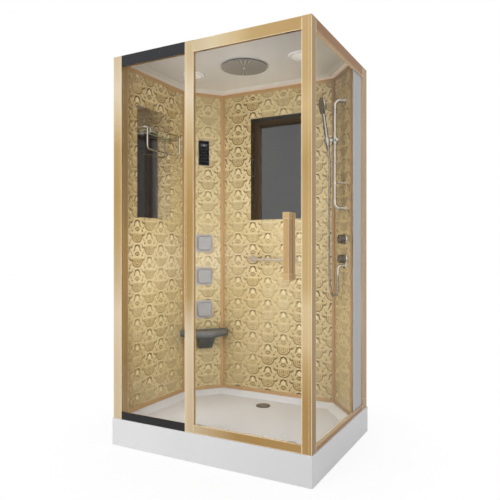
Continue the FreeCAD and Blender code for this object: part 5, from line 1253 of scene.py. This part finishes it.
def area_light(name, place, target, width, power, height=None):
    """A soft lamp that nothing shows, square unless it has a height of its own."""
    data = bpy.data.lights.new(name, "AREA")
    data.shape = "RECTANGLE" if height else "SQUARE"
    data.size = width
    if height:
        data.size_y = height
    data.energy = power
    lamp = bpy.data.objects.new(name, data)
    lamp.location = place
    lamp.rotation_euler = (Vector(target) - Vector(place)).to_track_quat("-Z", "Y").to_euler()
    scene.collection.objects.link(lamp)
    lamp.visible_camera = False
    lamp.visible_glossy = False
    lamp.visible_transmission = False


area_light("key", (-1.6, -4.8, 3.2), (0.0, 0.0, 1.1), width=3.0, power=106)
area_light("fill", (4.4, -2.0, 2.0), (0.0, 0.0, 1.0), width=3.0, power=24)
area_light("overhead", (0.2, -0.4, 5.2), (0.0, 0.0, 0.0), width=4.0, power=120)
area_light("inside", (0.0, -0.36, 1.2), (0.0, 1.0, 1.2), width=1.0, power=6, height=1.8)
area_light("across", (0.15, -0.2, 1.05), (LEFT_FACE, 0.0, 1.02), width=0.4, power=1.6, height=0.7)


def studio_world():
    """Light that is brighter from below, and plain white wherever it is looked at."""
    world = bpy.data.worlds.new("studio")
    world.use_nodes = True
    w = NodeTree(world.node_tree, "World", "Generated")
    sky = w.node("ValToRGB")
    w.link(w.span(w.axis("Z"), -1.0, 1.0), sky.inputs[0])
    below, above = sky.color_ramp.elements
    below.position = 0.3
    below.color = (0.95, 0.94, 0.93, 1.0)
    above.position = 0.85
    above.color = (0.5, 0.5, 0.52, 1.0)
    surround = w.node("Background")
    w.link(sky.outputs[0], surround.inputs["Color"])
    surround.inputs["Strength"].default_value = 0.75
    white = w.node("Background")
    white.inputs["Color"].default_value = (1.0, 1.0, 1.0, 1.0)
    white.inputs["Strength"].default_value = 1.0
    mixed = w.mix_shader(w.looked_at(), surround.outputs[0], white.outputs[0])
    w.link(mixed, w.output.inputs["Surface"])
    return world


def pale_floor():
    """A floor that takes the part's shadow and turns to plain white away from it."""
    s = Shader("pale_floor")
    diffuse = s.node("BsdfDiffuse")
    grey, pale = (0.9, 0.9, 0.9, 1.0), (0.94, 0.94, 0.94, 1.0)
    s.link(s.mix(s.vary(s.noise(0.8)), grey, pale), diffuse.inputs[0])
    reach = s.node("VectorMath", operation="LENGTH")
    s.link(s.place, reach.inputs[0])
    far = s.span(reach.outputs["Value"], 0.6, 1.2, 0.88, 1.0)
    white = s.node("Emission").outputs[0]
    shown = s.product(s.looked_at(), far)
    material = s.finish(s.mix_shader(shown, diffuse.outputs[0], white))
    corners = [
        (-FLOOR_SIDE, -FLOOR_SIDE, FLOOR_HEIGHT),
        (FLOOR_SIDE, -FLOOR_SIDE, FLOOR_HEIGHT),
        (FLOOR_SIDE, FLOOR_REAR, FLOOR_HEIGHT),
        (-FLOOR_SIDE, FLOOR_REAR, FLOOR_HEIGHT),
    ]
    data = bpy.data.meshes.new("floor")
    data.from_pydata(corners, [], [(0, 1, 2, 3)])
    data.materials.append(material)
    ground = bpy.data.objects.new("floor", data)
    scene.collection.objects.link(ground)
    return ground


scene.world = studio_world()
floor = pale_floor()

scene.view_settings.view_transform = "Standard"
